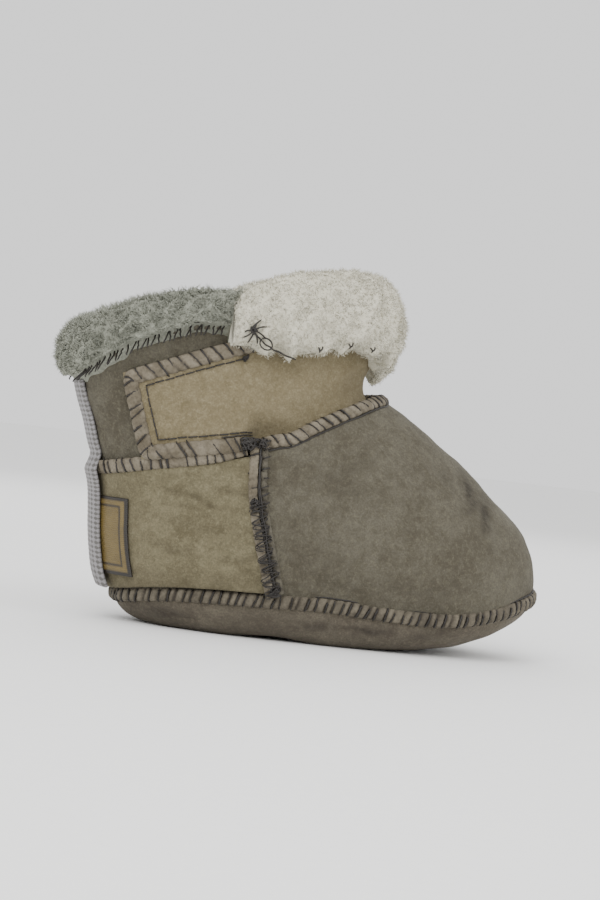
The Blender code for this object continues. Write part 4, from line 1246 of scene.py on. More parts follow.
def make_upper(sizes, colours):
    low_rows, high_rows = 40, 36
    floor = SLOT_FLOOR * INSTEP_HEIGHT
    ring = upper_ring()
    turns, heights = [], []
    for side, (region, turn_of, share) in ring:
        base = seam_height(turn_of(seam_height(turn_of(SEAM_HEIGHT)))) + GAP / 2
        tops = {"vamp": vamp_height(share), "shaft": collar_height(share), "slot": floor + 1 * MM}
        above = np.linspace(floor, tops[region], high_rows)[1:]
        column = np.concatenate([np.linspace(base, floor, low_rows), above])
        heights.append(column)
        turns.append(side * turn_of(column))
    turn, height = np.array(turns), np.array(heights)
    rows = height.shape[1]
    plain = last(turn, height)
    front = plain[..., 0] > side_seam(height)
    depth = np.where(front, troughs(plain, VAMP_CREASES), troughs(plain, SHAFT_CREASES)) * sizes.crease
    depth += 0.28 * MM * waves(plain, 15 * MM, 8) + 0.10 * MM * waves(plain, 5 * MM, 9)
    normal = normal_of(last, turn, height)
    outer = plain - normal * depth[..., None]
    inner = plain - normal * (WALL + np.maximum(depth, 0))[..., None]
    quads = grid_quads(len(ring), rows, closed=True)
    gap = np.array([region == "slot" for _, (region, _, _) in ring])
    column, row = quads % (len(ring) * rows) // rows, quads % rows
    open_slot = (row.min(axis=1) >= low_rows - 1) & gap[column].any(axis=1)
    form = Form()
    dirt = side_view_dirt_and_shade(plain, VAMP_MARKS, VAMP_CREASES)
    add_shell(form, outer, inner, quads[~open_slot], dirt=dirt)
    drop_loose(form)
    # The last colour paints the rubbed and soiled patches and the painted shade in creases.
    dark, fleck, soil_and_shade = linear("474236"), linear("635F4F"), linear("2B261D")
    material = suede("suede upper", colours.vamp, dark, fleck, soil_and_shade, 1.5)
    form.make("upper_suede", material, ["upper"])


def drop_loose(form):
    """Removes points that no face uses."""
    points = np.concatenate(form.points)
    used = np.unique(np.concatenate([group.ravel() for group in form.faces]))
    new = np.zeros(len(points), int)
    new[used] = np.arange(len(used))
    form.points, form.count = [points[used]], len(used)
    form.faces = [new[group] for group in form.faces]
    form.layers = {name: [np.concatenate(values)[used]] for name, values in form.layers.items()}


def make_heel_panel(sizes, colours):
    share = np.linspace(-1, 1, 181)[:, None]
    rise = np.linspace(0, 1, 60)[None]
    middle = panel_height(PANEL_MIDDLE)

    def turn_of(share, height):
        return from_back(share, turn_at(side_seam(height) - 0.4 * MM, height))

    low = seam_height(turn_of(np.abs(share), SEAM_HEIGHT)) + 2.6 * MM
    gone = math.pi - turn_of(np.abs(share), middle)
    height = lerp(low, panel_height(np.minimum(gone / (math.pi - side_seam_turn(middle)), 1)), rise)
    turn = turn_of(share, height)
    plain = last(turn, height)
    normal = normal_of(last, turn, height)
    depth = troughs(plain, PANEL_CREASES) * sizes.crease + 0.16 * MM * waves(plain, 8 * MM, 21)
    depth = np.clip(depth, -0.6 * MM, 0.75 * MM)
    near_back = smooth((np.abs(plain[..., 1]) - 0.6 * TAPE_WIDTH) / (4 * MM))
    depth *= np.where(plain[..., 0] < 0, near_back, 1)
    outer = plain + normal * (PANEL_PROUD - depth)[..., None]
    inner = plain + normal * SHEET_GAP
    form = Form()
    dirt = side_view_dirt_and_shade(plain, PANEL_MARKS, PANEL_CREASES)
    add_shell(form, outer, inner, grid_quads(*height.shape), dirt=dirt)
    # The last colour paints the rubbed and soiled patches and the painted shade in creases.
    dark, fleck, soil_and_shade = linear("58513C"), linear("7B755D"), linear("3B3324")
    material = suede("suede heel panel", colours.panel, dark, fleck, soil_and_shade, 1.15)
    form.make("heel_panel_suede", material, ["heel_panel"])


def make_tongue(sizes, colours):
    half_turn, half_height = [], []
    rise = np.linspace(0, 1, 64)
    corner = INSTEP_HEIGHT * WING[-1][LOW_HEIGHT]
    for share in np.linspace(1, 0, 46)[:-1]:
        low = lerp(corner, vamp_height(share), smooth(CORNER_EASE * share))
        low -= TUCK_DEPTH * smooth(FRONT_EASE * share)
        height = lerp(low, tongue_top(share), rise)
        half_height.append(height)
        half_turn.append(corner_turn(height) * (1 - share))
    for share in np.linspace(1, 0, 60):
        forward, height = wing_point(share, rise)
        half_height.append(height)
        half_turn.append(turn_at(forward, height))
    turn = np.array([-t for t in reversed(half_turn[1:])] + half_turn)
    height = np.array(list(reversed(half_height[1:])) + half_height)
    plain = last(turn, height)
    normal = normal_of(last, turn, height)
    proud = tongue_proud(turn, height)
    depth = troughs(plain, STRAP_CREASES) * sizes.crease + 0.14 * MM * waves(plain, 10 * MM, 33)
    outer = plain + normal * (proud - depth)[..., None]
    inner = plain + normal * (proud - STRAP_THICKNESS)[..., None]
    form = Form()
    add_shell(form, outer, inner, grid_quads(*height.shape), dirt=marks(plain, STRAP_MARKS))
    dark, fleck, soil_and_shade = linear("675D44"), linear("887E65"), linear("49402D")
    material = suede("suede strap", colours.strap, dark, fleck, soil_and_shade, 1.05)
    form.make("tongue_suede", material, ["tongue"])


def make_label(sizes, colours):
    arc = np.linspace(-0.5, 0.5, 121)[:, None] * LABEL_LENGTH
    up = np.linspace(0, 1, 64)[None] * LABEL_HEIGHT
    arc, up = np.broadcast_arrays(arc, up)
    height = LABEL_BOTTOM + up
    turn = turn_round_back(height, arc)
    ripple = 0.08 * MM * waves(last(turn, height), 6 * MM, 41)
    outer = skin(turn, height, LABEL_UNDER + LABEL_THICKNESS + ripple)
    inner = skin(turn, height, LABEL_UNDER)
    to_edge = np.minimum(LABEL_LENGTH / 2 - np.abs(arc), np.minimum(up, LABEL_HEIGHT - up))
    frame_line = smooth((0.35 * MM - np.abs(to_edge - 2.5 * MM)) / (0.25 * MM))
    border = smooth((1.1 * MM - to_edge) / (0.25 * MM))
    dark_yarn = np.clip(frame_line + border, 0, 1)
    form = Form()
    add_shell(form, outer, inner, grid_quads(*height.shape), frame=dark_yarn, up=height / MM)
    material = woven_label("damask label", colours.label, linear("0F0905"), linear("39280F"))
    form.make("label_damask", material, ["label"])


def make_heel_tape(sizes, colours):
    arc = np.linspace(-0.5, 0.5, 33)[:, None] * TAPE_WIDTH
    step_off = panel_height(0) + 0.8 * MM
    top = BACK_HEIGHT - 1.2 * MM
    arc, height = np.broadcast_arrays(arc, np.linspace(TAPE_BOTTOM, top, 130)[None])
    turn = turn_round_back(height, arc)
    under = lerp(TAPE_UNDER, GAP, smooth((height - step_off) / TAPE_EASE))
    wide, period = TAPE_SLANT * arc, TAPE_LATTICE * MM
    rib = 0.05 * MM * np.sin(math.tau * (wide + height) / period)
    rib = rib * np.sin(math.tau * (wide - height) / period)
    outer = skin(turn, height, under + TAPE_THICKNESS + rib)
    inner = skin(turn, height, under)
    form = Form()
    add_shell(form, outer, inner, grid_quads(*height.shape), across=arc / MM, up=height / MM)
    material = woven_tape("jacquard tape", colours.tape, linear("4A4743"))
    form.make("heel_tape_jacquard", material, ["heel_tape"])


# Seams


def make_edge_rolls(sizes, colours):
    pitch = sizes.stitch_pitch
    form = Form()
    add_roll(form, sole_edge(), SOLE_ROLL, pitch, groove=0.1)
    taupe = rolled_edge("rolled sole skin edge", colours.seam, linear("4A4439"), linear("2C261F"))
    form.make("sole_seam_roll", taupe)

    form = Form()
    add_roll(form, vamp_edge(), VAMP_ROLL, pitch)
    add_roll(form, panel_edge(), PANEL_ROLL, pitch)
    for side in (-1, 1):
        add_roll(form, strap_edge(side), STRAP_ROLL, pitch)
        add_roll(form, side_edge(side, PANEL_PROUD), PANEL_SIDE_ROLL, pitch)
    cream = rolled_edge("rolled cream skin edge", colours.edge, linear("585041"), linear("2A241C"))
    form.make("cream_edge_rolls", cream)

    form = Form()
    add_roll(form, collar_edge(), COLLAR_ROLL, pitch)
    for side in (-1, 1):
        add_roll(form, side_edge(side), VAMP_SIDE_ROLL, pitch)
    ridge = rolled_edge("rolled taupe skin edge", colours.vamp, linear("4B463B"), linear("2C261F"))
    form.make("taupe_edge_rolls", ridge)


def make_stitches(sizes, colours):
    pitch, radius = sizes.stitch_pitch, sizes.thread / 2
    form = Form()

    sole = sole_edge()
    add_overcast(form, sole, SOLE_ROLL, roll_stitches(sole, SOLE_ROLL, pitch), radius, 11, wrap=-0.2 * MM)
    add_line(form, sole, 0.0, sole.length, 2.3 * MM, 0.2 * MM, radius * 1.1)

    vamp = vamp_edge()
    add_overcast(form, vamp, VAMP_ROLL, roll_stitches(vamp, VAMP_ROLL, pitch), radius, 12)
    add_line(form, vamp, 0.5 * MM, vamp.length - 0.5 * MM, 3.45 * MM, 0.2 * MM, radius * 1.1)

    panel = panel_edge()
    places = roll_stitches(panel, PANEL_ROLL, pitch)
    beside_tape = np.abs(places - panel.length / 2) > 0.55 * TAPE_WIDTH
    add_overcast(form, panel, PANEL_ROLL, places[beside_tape], radius, 13)

    add_collar_loops(form, collar_edge(), pitch, radius)
    for side in (-1, 1):
        add_strap_stitches(form, side, pitch, radius)
        add_side_stitches(form, side, pitch, radius)
        add_cuff_stitches(form, side, radius)
    material = spun_thread("spun polyester thread", colours.thread, linear("0D0A07"))
    form.make("overcast_thread", material)


def add_collar_loops(form, collar, pitch, radius):
    """Loops that climb from the shaft over the foot of the collar's wool, and the thread that
    runs through them."""
    rng = np.random.default_rng(14)
    side = 1 - 2 * roll_stitches(collar, COLLAR_ROLL, pitch) / collar.length
    flare = COLLAR_WOOL_FLARE * read(COLLAR, 1 - np.abs(side), 3)[:, None]
    climb = np.array([2.4, 2.0, 1.2, 0.5, 0.0, -0.5, -1.0, -1.5, -1.9]) * MM
    reach = np.array([0.0, 0.06, 0.10, 0.15, 0.24, 0.36, 0.48, 0.58, 0.60])
    clear_of_tape = 0.6 * TAPE_WIDTH
    for shift, lean, seed in ((0.0, 0.3, 14), (0.4, 0.8, 15)):
        at = stitch_places(collar, pitch, seed)[:, None] + shift * pitch - lean * climb
        at = at + rng.normal(0, 0.10 * MM, at.shape)
        beside_tape = np.abs(at[:, 0] - collar.length / 2) > clear_of_tape
        loops = collar.place(at, climb, reach * flare + 0.45 * MM)[beside_tape]
        add_tubes(form, loops, radius)
    for start in (1 * MM, collar.length / 2 + clear_of_tape):
        stop = start + collar.length / 2 - clear_of_tape - 1 * MM
        add_line(form, collar, start, stop, 1.9 * MM, 1.2 * MM, radius, 0.3 * MM)


def add_strap_stitches(form, side, pitch, radius):
    """Overcast round the wing, and the rectangle of lockstitch that holds the closing tape."""
    strap = strap_edge(side)
    add_overcast(form, strap, STRAP_ROLL, roll_stitches(strap, STRAP_ROLL, pitch), radius, 16)
    inner = strap_edge(side, STRAP_SEAM)
    begin, end = 1.5 * MM, inner.length - 3 * MM
    add_running(form, inner, begin, end, 2.9 * MM, radius * 0.95, 0.15 * MM)
    add_line(form, inner, begin, begin + 11 * MM, -0.8 * MM, 0.3 * MM, radius * 0.9, 0.2 * MM)
    add_tangle(form, inner, end, 0.0, 0.9 * MM, 3, radius * 0.9, 8, out=0.4 * MM)
    add_tangle(form, strap, 1.2 * MM, 1.6 * MM, 2.3 * MM, 7, radius, 9, out=1.3 * MM)
    add_tangle(form, strap, 0.2 * MM, 0.2 * MM, 2.6 * MM, 7, radius, 10, out=1.6 * MM)


def add_side_stitches(form, side, pitch, radius):
    """The side seam: whipped over above, and sewn over and over below."""
    seam = side_edge(side, 1.2 * MM)
    add_line(form, seam, 1 * MM, seam.length, 0.15 * MM, 0.6 * MM, radius * 1.3, 0.25 * MM)
    add_line(form, seam, 0.0, seam.length * 0.9, -0.2 * MM, 0.8 * MM, radius * 1.1, 0.4 * MM, seed=19)
    half = 0.55 * seam.length
    for roll in WHIPPING:
        places = stitch_places(seam, roll.spacing * pitch, roll.seed, half, seam.length)
        add_overcast(form, seam, roll, places, radius, roll.seed, wrap=0)
    rng = np.random.default_rng(40)
    for k in range(3):
        at = np.linspace(0, half * 1.1, 90)
        beat = math.tau * at / (rng.uniform(2.3, 3.5) * MM)
        swing = 0.6 * MM + 2.3 * MM * np.sin(beat + 0.7 * np.sin(beat / 2.7) + rng.uniform(0, 6))
        drift = 0.5 * MM * waves(np.stack([at, at * 0 + k, at * 0], -1), 6 * MM, 50 + k)
        out = lerp(0.5 * MM, 2.1 * MM, smooth(swing / MM)) + radius * (1 + 1.2 * np.cos(beat + k))
        add_tubes(form, seam.place(at, swing + drift, out)[None], radius * 0.75)
    add_tangle(form, seam, half * 1.08, 1.4 * MM, 1.3 * MM, 4, radius, 31, out=1.4 * MM)
    add_tangle(form, seam, 0.5 * MM, 0.2 * MM, 1.7 * MM, 6, radius, 32, out=1.0 * MM)
    add_tangle(form, seam, seam.length - 0.5 * MM, 0.2 * MM, 1.9 * MM, 6, radius, 33, out=1.2 * MM)
    add_tangle(form, seam, seam.length - 1.2 * MM, 3.9 * MM, 2.4 * MM, 8, radius, 34, out=2.6 * MM)


def add_cuff_stitches(form, side, radius):
    """A star of thread at the cuff's rear end, with a loop, and the thread that runs from it along
    the cuff's lower edge."""
    rng = np.random.default_rng(23)
    forward, height = np.array(CUFF_THREAD).T * MM
    turn = turn_at(forward, height) * side
    edge = Edge(tongue_face(turn, height), normal_of(last, turn, height), inward_side=side)
    add_line(form, edge, 0.0, edge.length, 0.0, 6.2 * MM, radius * 1.1, 0.4 * MM)
    star = 1.0 * MM
    ray = np.linspace(0.1, 1, 7)
    angle = math.tau * (np.arange(9) + rng.uniform(-0.3, 0.3, 9)) / 9
    reach = rng.uniform(2.8, 5.0, (9, 1)) * MM * ray
    bend = angle[:, None] + 0.35 * ray
    drop = 7.2 * MM - 0.8 * MM * ray**2
    add_tubes(form, edge.place(star + reach * np.cos(bend), reach * np.sin(bend), drop), radius)
    add_tangle(form, edge, star, 0.0, 1.0 * MM, 4, radius, 24, out=6.8 * MM)
    forward, height = np.array(CUFF_NOTCHES).T * MM
    spot = turn_at(forward, height) * side
    away = normal_of(last, spot, height)[:, None, None]
    fan = np.linspace(-0.5, 0.5, 2)[None, :, None]
    run = np.linspace(-1, 1, 7)[None, None]
    rays = np.stack([0.7 * fan + 0.5 * fan * run, 0 * fan * run, 0.7 * run + 0.4 * fan], axis=-1) * MM
    foot = tongue_face(spot, height, 8.6 * MM)[:, None, None]
    paths = foot + rays - away * (0.5 * MM * run**2)[..., None]
    add_tubes(form, paths.reshape(-1, 7, 3), radius)
    loop = np.linspace(0, math.tau * 1.1, 22)
    at = star + 5.2 * MM + 1.9 * MM * np.cos(loop)
    out = 7.0 * MM + 0.2 * MM * np.sin(2 * loop)
    add_tubes(form, edge.place(at, 1.5 * MM * np.sin(loop), out)[None], radius)


# Wool


def roll_sections(turn, top, face, shares, fleece):
    """Points of a wool roll round a sheet's top edge: (station, round it, xyz)."""
    hang, tall, flare = (read(fleece.rows, shares, column) for column in (1, 2, 3))
    hang, tall, flare = hang * fleece.tall, tall * fleece.tall, flare * fleece.flare
    shape = np.array(fleece.profile)
    at = np.linspace(0, 1, len(shape))
    fine = np.linspace(0, 1, fleece.around)
    across, up, droop = (read(np.stack([at, shape[:, c]], 1), fine) for c in range(3))
    gone = run_length(face(turn, top))
    end = np.minimum(gone, gone[-1] - gone) / FLEECE_END
    full = np.sqrt(1 - (1 - np.minimum(1, 0.12 + end)) ** 2)[:, None]
    scallop = 1 + 0.14 * np.sin(math.tau * gone / (8 * MM)) + 0.06 * np.sin(math.tau * gone / (5.3 * MM))
    rise = up[None] * tall[:, None] * lerp(fleece.end_size, 1, full)
    rise = rise - droop[None] * (hang * scallop * smooth(end / 1.6))[:, None]
    height = top[:, None] + np.minimum(rise, 0)
    seat = face(np.broadcast_to(turn[:, None], height.shape), height)
    reach = (across[None] * flare[:, None] * lerp(fleece.end_size + 0.15, 1, full))[..., None]
    out = level_out(turn, top)[:, None]
    return seat + out * reach + np.maximum(rise, 0)[..., None] * np.array([0, 0, 1.0])


def surface_samples(points, count, rng):
    """Random points spread evenly over a grid surface, with their normals and the share of the
    way round it at which they lie."""
    a, b = points[:-1, :-1].reshape(-1, 3), points[1:, :-1].reshape(-1, 3)
    c, d = points[1:, 1:].reshape(-1, 3), points[:-1, 1:].reshape(-1, 3)
    normal = np.cross(c - a, d - b)
    area = np.linalg.norm(normal, axis=1)
    pick = rng.choice(len(a), count, p=area / area.sum())
    u, v = rng.uniform(size=(2, count, 1))
    spot = (a[pick] * (1 - u) + b[pick] * u) * (1 - v) + (d[pick] * (1 - u) + c[pick] * u) * v
    around = points.shape[1] - 1
    return spot, unit(normal[pick]), (pick % around) / around


def add_pile(form, surface, count, length, radius, clump, together, lean, seed, flip=1, foot=0.0):
    """Tufts over a surface, gathered into locks that lean their own way. They stand on its other
    side where flip is -1, and are short up to the share foot of the way round it."""
    rng = np.random.default_rng(seed)
    roots, normal, around = surface_samples(surface, count, rng)
    normal = normal * flip
    locks = max(12, int(count * 0.02))
    centres = roots[rng.choice(count, locks, replace=False)]
    swing = unit(rng.normal(size=(locks, 3)))
    nearest = np.empty(count, int)
    for start in range(0, count, 2000):
        part = roots[start : start + 2000]
        nearest[start : start + 2000] = np.argmin(((part[:, None] - centres[None]) ** 2).sum(-1), axis=1)
    to_centre = centres[nearest] - roots
    grown = length * rng.uniform(0.6, 1.15, (count, 1))
    if foot:
        grown *= lerp(0.25, 1, smooth(around / foot - 0.4))[:, None]
    stray = 0.35 * rng.normal(size=(count, 3))
    way = unit(normal + 0.5 * clump * swing[nearest] + stray + np.array(lean))
    way = np.where((way * normal).sum(-1, keepdims=True) < 0.15, unit(way + normal), way)
    ways = way * grown + to_centre * together
    curls = unit(np.cross(way, rng.normal(size=(count, 3)))) * grown * 0.55
    tone = np.clip(0.5 + 0.22 * rng.normal(size=count) + 0.25 * rng.normal(size=locks)[nearest], 0, 1)
    add_strands(form, roots, ways, curls, radius * rng.uniform(0.7, 1.2, count), tone)


def add_wool_body(form, surface):
    """The closed mass under the strands."""
    stations, around, _ = surface.shape
    quads = grid_quads(stations, around, round_rows=True)
    form.add(surface, [quads, *end_caps(stations, around)], tip=0.45, tone=0.35)


def lumpy(surface, size, depth, seed, inset):
    """A wool mass swollen into rounded locks, set in by most of its strands' length."""
    normal = unit(np.cross(np.gradient(surface, axis=0), np.gradient(surface, axis=1)))
    swell = np.abs(waves(surface, size, seed)) * 1.2 - 0.35
    swell = swell + 0.35 * waves(surface, size * 0.45, seed + 1)
    station = np.arange(len(surface))
    ends = smooth(np.minimum(station, station[::-1]) / 5)[:, None]
    return surface - normal * ((depth * swell + inset) * ends)[..., None]


def make_collar_wool(sizes, colours):
    side = np.linspace(1, -1, 240)
    share = (COLLAR_END + COLLAR_TUCK) * side
    height = collar_height(np.abs(share))
    turn = from_back(share, turn_at(SHAFT_EDGE, height))
    surface = roll_sections(turn, height, skin, 1 - np.abs(side), COLLAR_FLEECE)
    surface = lumpy(surface, 6 * MM, 1.0 * MM, 61, 0.95 * sizes.collar_pile)
    form = Form()
    add_wool_body(form, surface)
    pile, strand = sizes.collar_pile, sizes.strand
    add_pile(form, surface, OUTER_TUFTS, pile, strand, 0.7, 0.40, (0, 0, 0.05), 62, foot=0.16)
    material = wool("grey fleece", colours.collar, linear("85877A"), linear("6A6B60"), linear("8C7A5C"), 6)
    form.make("collar_fleece", material, ["collar_wool"])


def tongue_edge_height(turn):
    """Height of the tongue's top edge at this turn: its front, then the top of the wing."""
    top = tongue_top(0)
    corner = corner_turn(top)
    share = np.linspace(1, 0.5, 60)
    forward, height = wing_point(share, 1.0)
    along_wing = np.interp(turn, turn_at(forward, height), height)
    return np.where(turn < corner, tongue_top(1 - turn / corner), along_wing)


def make_cuff_wool(sizes, colours):
    side = np.linspace(-1, 1, 220)
    turn = turn_at(CUFF_START - CUFF_TUCK, tongue_top(0)) * side
    height = tongue_edge_height(np.abs(turn))
    surface = roll_sections(turn, height, tongue_face, 1 - np.abs(side), CUFF_FLEECE)
    surface = lumpy(surface, 12 * MM, 1.0 * MM, 71, 0.9 * sizes.cuff_pile)
    form = Form()
    add_wool_body(form, surface)
    pile, strand = sizes.cuff_pile, 0.85 * sizes.strand
    add_pile(form, surface, OUTER_TUFTS, pile, strand, 0.45, 0.20, (0, 0, -0.10), 72)
    material = wool("cream fleece", colours.cuff, linear("CBC7B5"), linear("BDB8A4"), linear("5A4A38"), 9)
    form.make("cuff_fleece", material, ["cuff_wool"])


def make_insole(sizes, colours):
    face, into = dish(160, np.linspace(0.60, 1.0, 12), (0.8, 0.6, 0.4, 0.2))
    under = face + into * (WALL + GAP)
    top = WALL + GAP + INSOLE_THICKNESS - 1.2 * MM  # the rest is pile
    over = face + into * (top + 0.4 * MM * waves(face, 7 * MM, 81))[..., None]
    form = Form()
    add_dish(form, under, over, tip=0.4, tone=0.4)
    tread = np.concatenate([over, over[:1]])
    add_pile(form, tread, FOOTBED_TUFTS, 3.0 * MM, sizes.strand, 0.6, 0.4, (0.2, 0, 0), 82)
    material = wool("footbed fleece", colours.lining, linear("8F8A77"), linear("6E6858"), linear("6A5C46"), 7)
    form.make("footbed_fleece", material, ["insole"])


def make_lining(sizes, colours):
    """The fleece inside the shaft, as it shows through the collar."""
    share = np.concatenate([np.linspace(1, 0, 40), -np.linspace(0, 1, 40)[1:]])[:, None]
    height = lerp(16 * MM, collar_height(np.abs(share)) - 9 * MM, np.linspace(0, 1, 22)[None])
    turn = from_back(share, turn_at(SHAFT_EDGE, height))
    face = skin(turn, height, -(WALL + 0.2 * MM))
    back = skin(turn, height, -(WALL + 1.4 * MM))
    form = Form()
    add_shell(form, face, back, grid_quads(*height.shape), tip=0.3, tone=0.35)
    add_pile(form, back, LINING_TUFTS, 3.2 * MM, sizes.strand, 0.8, 0.4, (0, 0, 0.2), 92, flip=-1)
    material = wool("lining fleece", colours.lining, linear("8F8C7C"), linear("5E5A4E"), linear("6A5C46"), 7)
    form.make("lining_fleece", material)


# The stage


LIT_POINT = (0.03, 0, 0.05)  # inside the bootie, where the lights point
FLOOR_REACH = 6  # metres, to each side


def make_stage(sizes):
    floor = bpy.data.meshes.new("floor")
    corners = [(x * FLOOR_REACH, y * FLOOR_REACH, 0) for x, y in ((-1, -1), (1, -1), (1, 1), (-1, 1))]
    floor.from_pydata(corners, [], [(0, 1, 2, 3)])
    ground = bpy.data.objects.new("floor", floor)
    bpy.context.scene.collection.objects.link(ground)
    material, tree, where = new_material("pale paper floor", 0.9, 0.0, (1, 1, 1), 1.5)
    fibre = add(tree, NOISE, {"Vector": where, "Scale": 1 / 3, "Detail": 3})
    colours = {0: fibre, FIRST: rgba(linear("F6F6F5")), SECOND: rgba(linear("FAFAF9"))}
    give_surface(tree, add(tree, MIX, colours, MIXED, data_type="RGBA"))
    floor.materials.append(material)
    ground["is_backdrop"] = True

    world = bpy.data.worlds.new("soft white room")
    bpy.context.scene.world = world
    world.use_nodes = True
    world.node_tree.nodes["Background"].inputs["Color"].default_value = (1, 1, 1, 1)
    world.node_tree.nodes["Background"].inputs["Strength"].default_value = sizes.room_light

    for name, spot, width, power in (
        ("key softbox", (-0.35, -0.75, 0.75), 0.7, 7.5),
        ("fill softbox", (0.75, -0.45, 0.45), 0.6, 2.6),
        ("back softbox", (0.1, 0.8, 0.7), 0.7, 3.0),
    ):
        light = bpy.data.lights.new(name, "AREA")
        light.energy, light.size = power, width
        lamp = bpy.data.objects.new(name, light)
        lamp.location = spot
        toward = Vector(LIT_POINT) - lamp.location
        lamp.rotation_euler = toward.to_track_quat("-Z", "Y").to_euler()
        bpy.context.scene.collection.objects.link(lamp)

    make_camera(sizes)


def make_camera(sizes):
    """The photo's view: from the side and slightly from behind, near the floor, rolled toe down."""
    camera = bpy.data.cameras.new("photo camera")
    camera.lens = 85
    camera.sensor_fit = "VERTICAL"
    camera.sensor_height = 36
    eye = bpy.data.objects.new("photo camera", camera)
    azimuth, elevation = sizes.azimuth, sizes.elevation
    level = math.cos(elevation)
    away = Vector((math.sin(azimuth) * level, -math.cos(azimuth) * level, math.sin(elevation)))
    low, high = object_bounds()
    eye.location = (low + high) / 2 + away * sizes.distance
    facing = (-away).to_track_quat("-Z", "Y").to_euler()
    roll = Euler((0, 0, sizes.roll))
    eye.rotation_euler = (facing.to_matrix() @ roll.to_matrix()).to_euler()
    bpy.context.scene.collection.objects.link(eye)
    bpy.context.scene.camera = eye


# The add-on


def size(name, description, default):
    return FloatProperty(
        name=name, description=description, default=default, min=0, unit="LENGTH", precision=4
    )


def angle(name, description, degrees):
    return FloatProperty(name=name, description=description, default=math.radians(degrees), subtype="ANGLE")


def strength(name, description, default):
    return FloatProperty(
        name=name, description=description, default=default, min=0, soft_max=2, subtype="FACTOR"
    )


def hue(name, description, code):
    return FloatVectorProperty(
        name=name, description=description, default=linear(code), subtype="COLOR", size=3, min=0, max=1
    )


class BootieSizes(bpy.types.PropertyGroup):
    """Sizes of the sewing and the wool, and the view."""

    stitch_pitch: size("Stitch pitch", "Distance between overcast stitches", 3.0 * MM)
    thread: size("Thread", "Thickness of the sewing thread", 0.46 * MM)
    crease: strength("Creases", "How deep the suede is creased, 1 as worn", 1.0)
    collar_pile: size("Collar pile", "Length of the grey wool's strands", 2.3 * MM)
    cuff_pile: size("Cuff pile", "Length of the cream wool's strands", 1.4 * MM)
    strand: size("Strand", "Half thickness of a lock of strands", 0.10 * MM)
    room_light: strength("Room light", "Strength of the even white light", 1.25)
    azimuth: angle("View turn", "Camera's turn round the bootie", -12)
    elevation: angle("View height", "Camera's angle over the floor", 0.3)
    roll: angle("View roll", "Camera's roll, toe down", 6.8)
    distance: size("View distance", "From the camera to the bootie", 0.62)


class BootieColours(bpy.types.PropertyGroup):
    """Colours of the suede, thread, woven pieces and wool."""

    vamp: hue("Upper", "Light tone of the taupe suede", "595549")
    sole: hue("Sole", "Light tone of the sole's suede", "615B4E")
    panel: hue("Heel panel", "Light tone of the pale suede", "726B54")
    strap: hue("Strap", "Light tone of the cream suede", "7E745B")
    edge: hue("Rolled edges", "Light tone of the skin's cut edges", "787061")
    seam: hue("Sole seam", "Light tone of the pinched sole seam", "686153")
    thread: hue("Thread", "Dark brown thread", "211911")
    label: hue("Label", "Gold satin", "68572B")
    tape: hue("Tape", "Light yarn of the heel tape", "848182")
    collar: hue("Collar wool", "Grey fleece", "ABAD9F")
    cuff: hue("Cuff wool", "Cream fleece", "DEDACA")
    lining: hue("Lining", "Fleece inside", "B4B09E")


def look(context):
    """The bootie's sizes and colours in this scene."""
    return context.scene.bootie_sizes, context.scene.bootie_colours


class BOOTIE_OT_sole(bpy.types.Operator):
    """Makes the turned-up suede sole"""

    bl_idname = "bootie.sole"
    bl_label = "Sole"

    def execute(self, context):
        make_sole(*look(context))
        return {"FINISHED"}


class BOOTIE_OT_upper(bpy.types.Operator):
    """Makes vamp, quarters and shaft in taupe suede"""

    bl_idname = "bootie.upper"
    bl_label = "Upper"

    def execute(self, context):
        make_upper(*look(context))
        return {"FINISHED"}


class BOOTIE_OT_heel_panel(bpy.types.Operator):
    """Makes the pale suede round the heel"""

    bl_idname = "bootie.heel_panel"
    bl_label = "Heel panel"

    def execute(self, context):
        make_heel_panel(*look(context))
        return {"FINISHED"}


class BOOTIE_OT_tongue(bpy.types.Operator):
    """Makes the cream suede tongue with its strap wings"""

    bl_idname = "bootie.tongue"
    bl_label = "Tongue and straps"

    def execute(self, context):
        make_tongue(*look(context))
        return {"FINISHED"}


class BOOTIE_OT_woven_pieces(bpy.types.Operator):
    """Makes the bare gold label and the tape down the back"""

    bl_idname = "bootie.woven_pieces"
    bl_label = "Label and heel tape"

    def execute(self, context):
        make_label(*look(context))
        make_heel_tape(*look(context))
        return {"FINISHED"}


class BOOTIE_OT_edge_rolls(bpy.types.Operator):
    """Makes the puffed edges of skin along every seam"""

    bl_idname = "bootie.edge_rolls"
    bl_label = "Rolled edges"

    def execute(self, context):
        make_edge_rolls(*look(context))
        return {"FINISHED"}


class BOOTIE_OT_stitches(bpy.types.Operator):
    """Makes the overcast and straight stitches, with their knots"""

    bl_idname = "bootie.stitches"
    bl_label = "Stitches"

    def execute(self, context):
        make_stitches(*look(context))
        return {"FINISHED"}


class BOOTIE_OT_outer_wool(bpy.types.Operator):
    """Makes the grey fleece of the collar and the folded cream cuff"""

    bl_idname = "bootie.outer_wool"
    bl_label = "Collar and cuff wool"

    def execute(self, context):
        make_collar_wool(*look(context))
        make_cuff_wool(*look(context))
        return {"FINISHED"}


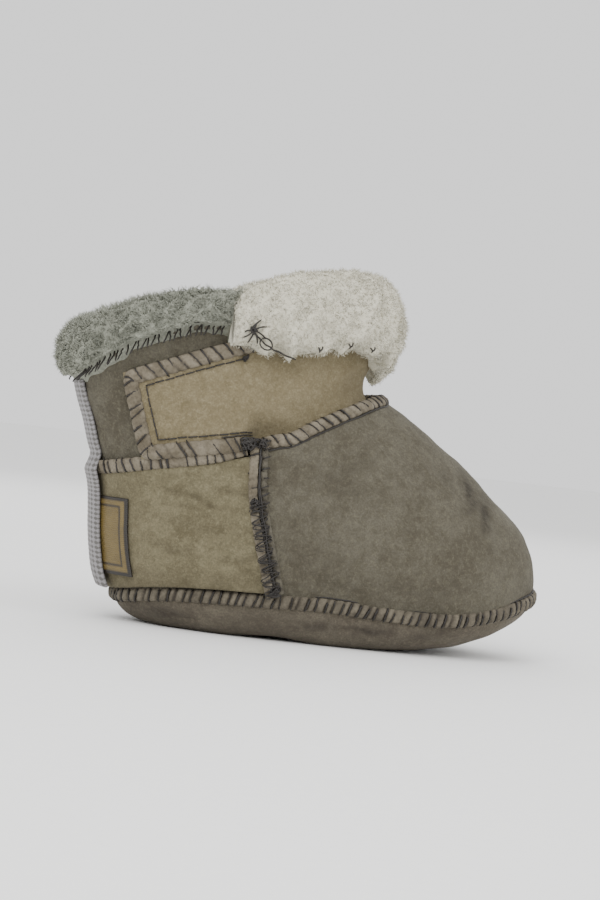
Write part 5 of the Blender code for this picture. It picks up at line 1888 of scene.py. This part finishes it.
class BOOTIE_OT_inner_wool(bpy.types.Operator):
    """Makes the fleece footbed and the fleece inside the shaft"""

    bl_idname = "bootie.inner_wool"
    bl_label = "Footbed and lining"

    def execute(self, context):
        make_insole(*look(context))
        make_lining(*look(context))
        return {"FINISHED"}


class BOOTIE_OT_stage(bpy.types.Operator):
    """Makes the floor, soft lights and camera"""

    bl_idname = "bootie.stage"
    bl_label = "Stage"

    def execute(self, context):
        make_stage(context.scene.bootie_sizes)
        return {"FINISHED"}


OPERATORS = (
    BOOTIE_OT_sole,
    BOOTIE_OT_upper,
    BOOTIE_OT_heel_panel,
    BOOTIE_OT_tongue,
    BOOTIE_OT_woven_pieces,
    BOOTIE_OT_edge_rolls,
    BOOTIE_OT_stitches,
    BOOTIE_OT_outer_wool,
    BOOTIE_OT_inner_wool,
    BOOTIE_OT_stage,
)


class BOOTIE_PT_panel(bpy.types.Panel):
    """Sizes, colours and pieces of the bootie"""

    bl_label = "Bootie"
    bl_idname = "BOOTIE_PT_panel"
    bl_space_type = "VIEW_3D"
    bl_region_type = "UI"
    bl_category = "Bootie"

    def draw(self, context):
        for group in look(context):
            column = self.layout.column(align=True)
            for name in group.__annotations__:
                column.prop(group, name)
        for operator in OPERATORS:
            self.layout.operator(operator.bl_idname)


CLASSES = (BootieSizes, BootieColours, *OPERATORS, BOOTIE_PT_panel)


def register():
    for cls in CLASSES:
        bpy.utils.register_class(cls)
    bpy.types.Scene.bootie_sizes = PointerProperty(type=BootieSizes)
    bpy.types.Scene.bootie_colours = PointerProperty(type=BootieColours)


def unregister():
    del bpy.types.Scene.bootie_colours
    del bpy.types.Scene.bootie_sizes
    for cls in reversed(CLASSES):
        bpy.utils.unregister_class(cls)


def main():
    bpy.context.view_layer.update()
    register()
    bpy.ops.bootie.sole()
    bpy.ops.bootie.upper()
    bpy.ops.bootie.heel_panel()
    bpy.ops.bootie.tongue()
    bpy.ops.bootie.woven_pieces()
    bpy.ops.bootie.edge_rolls()
    bpy.ops.bootie.stitches()
    bpy.ops.bootie.outer_wool()
    bpy.ops.bootie.inner_wool()
    bpy.ops.bootie.stage()


if __name__ == "__main__":
    main()
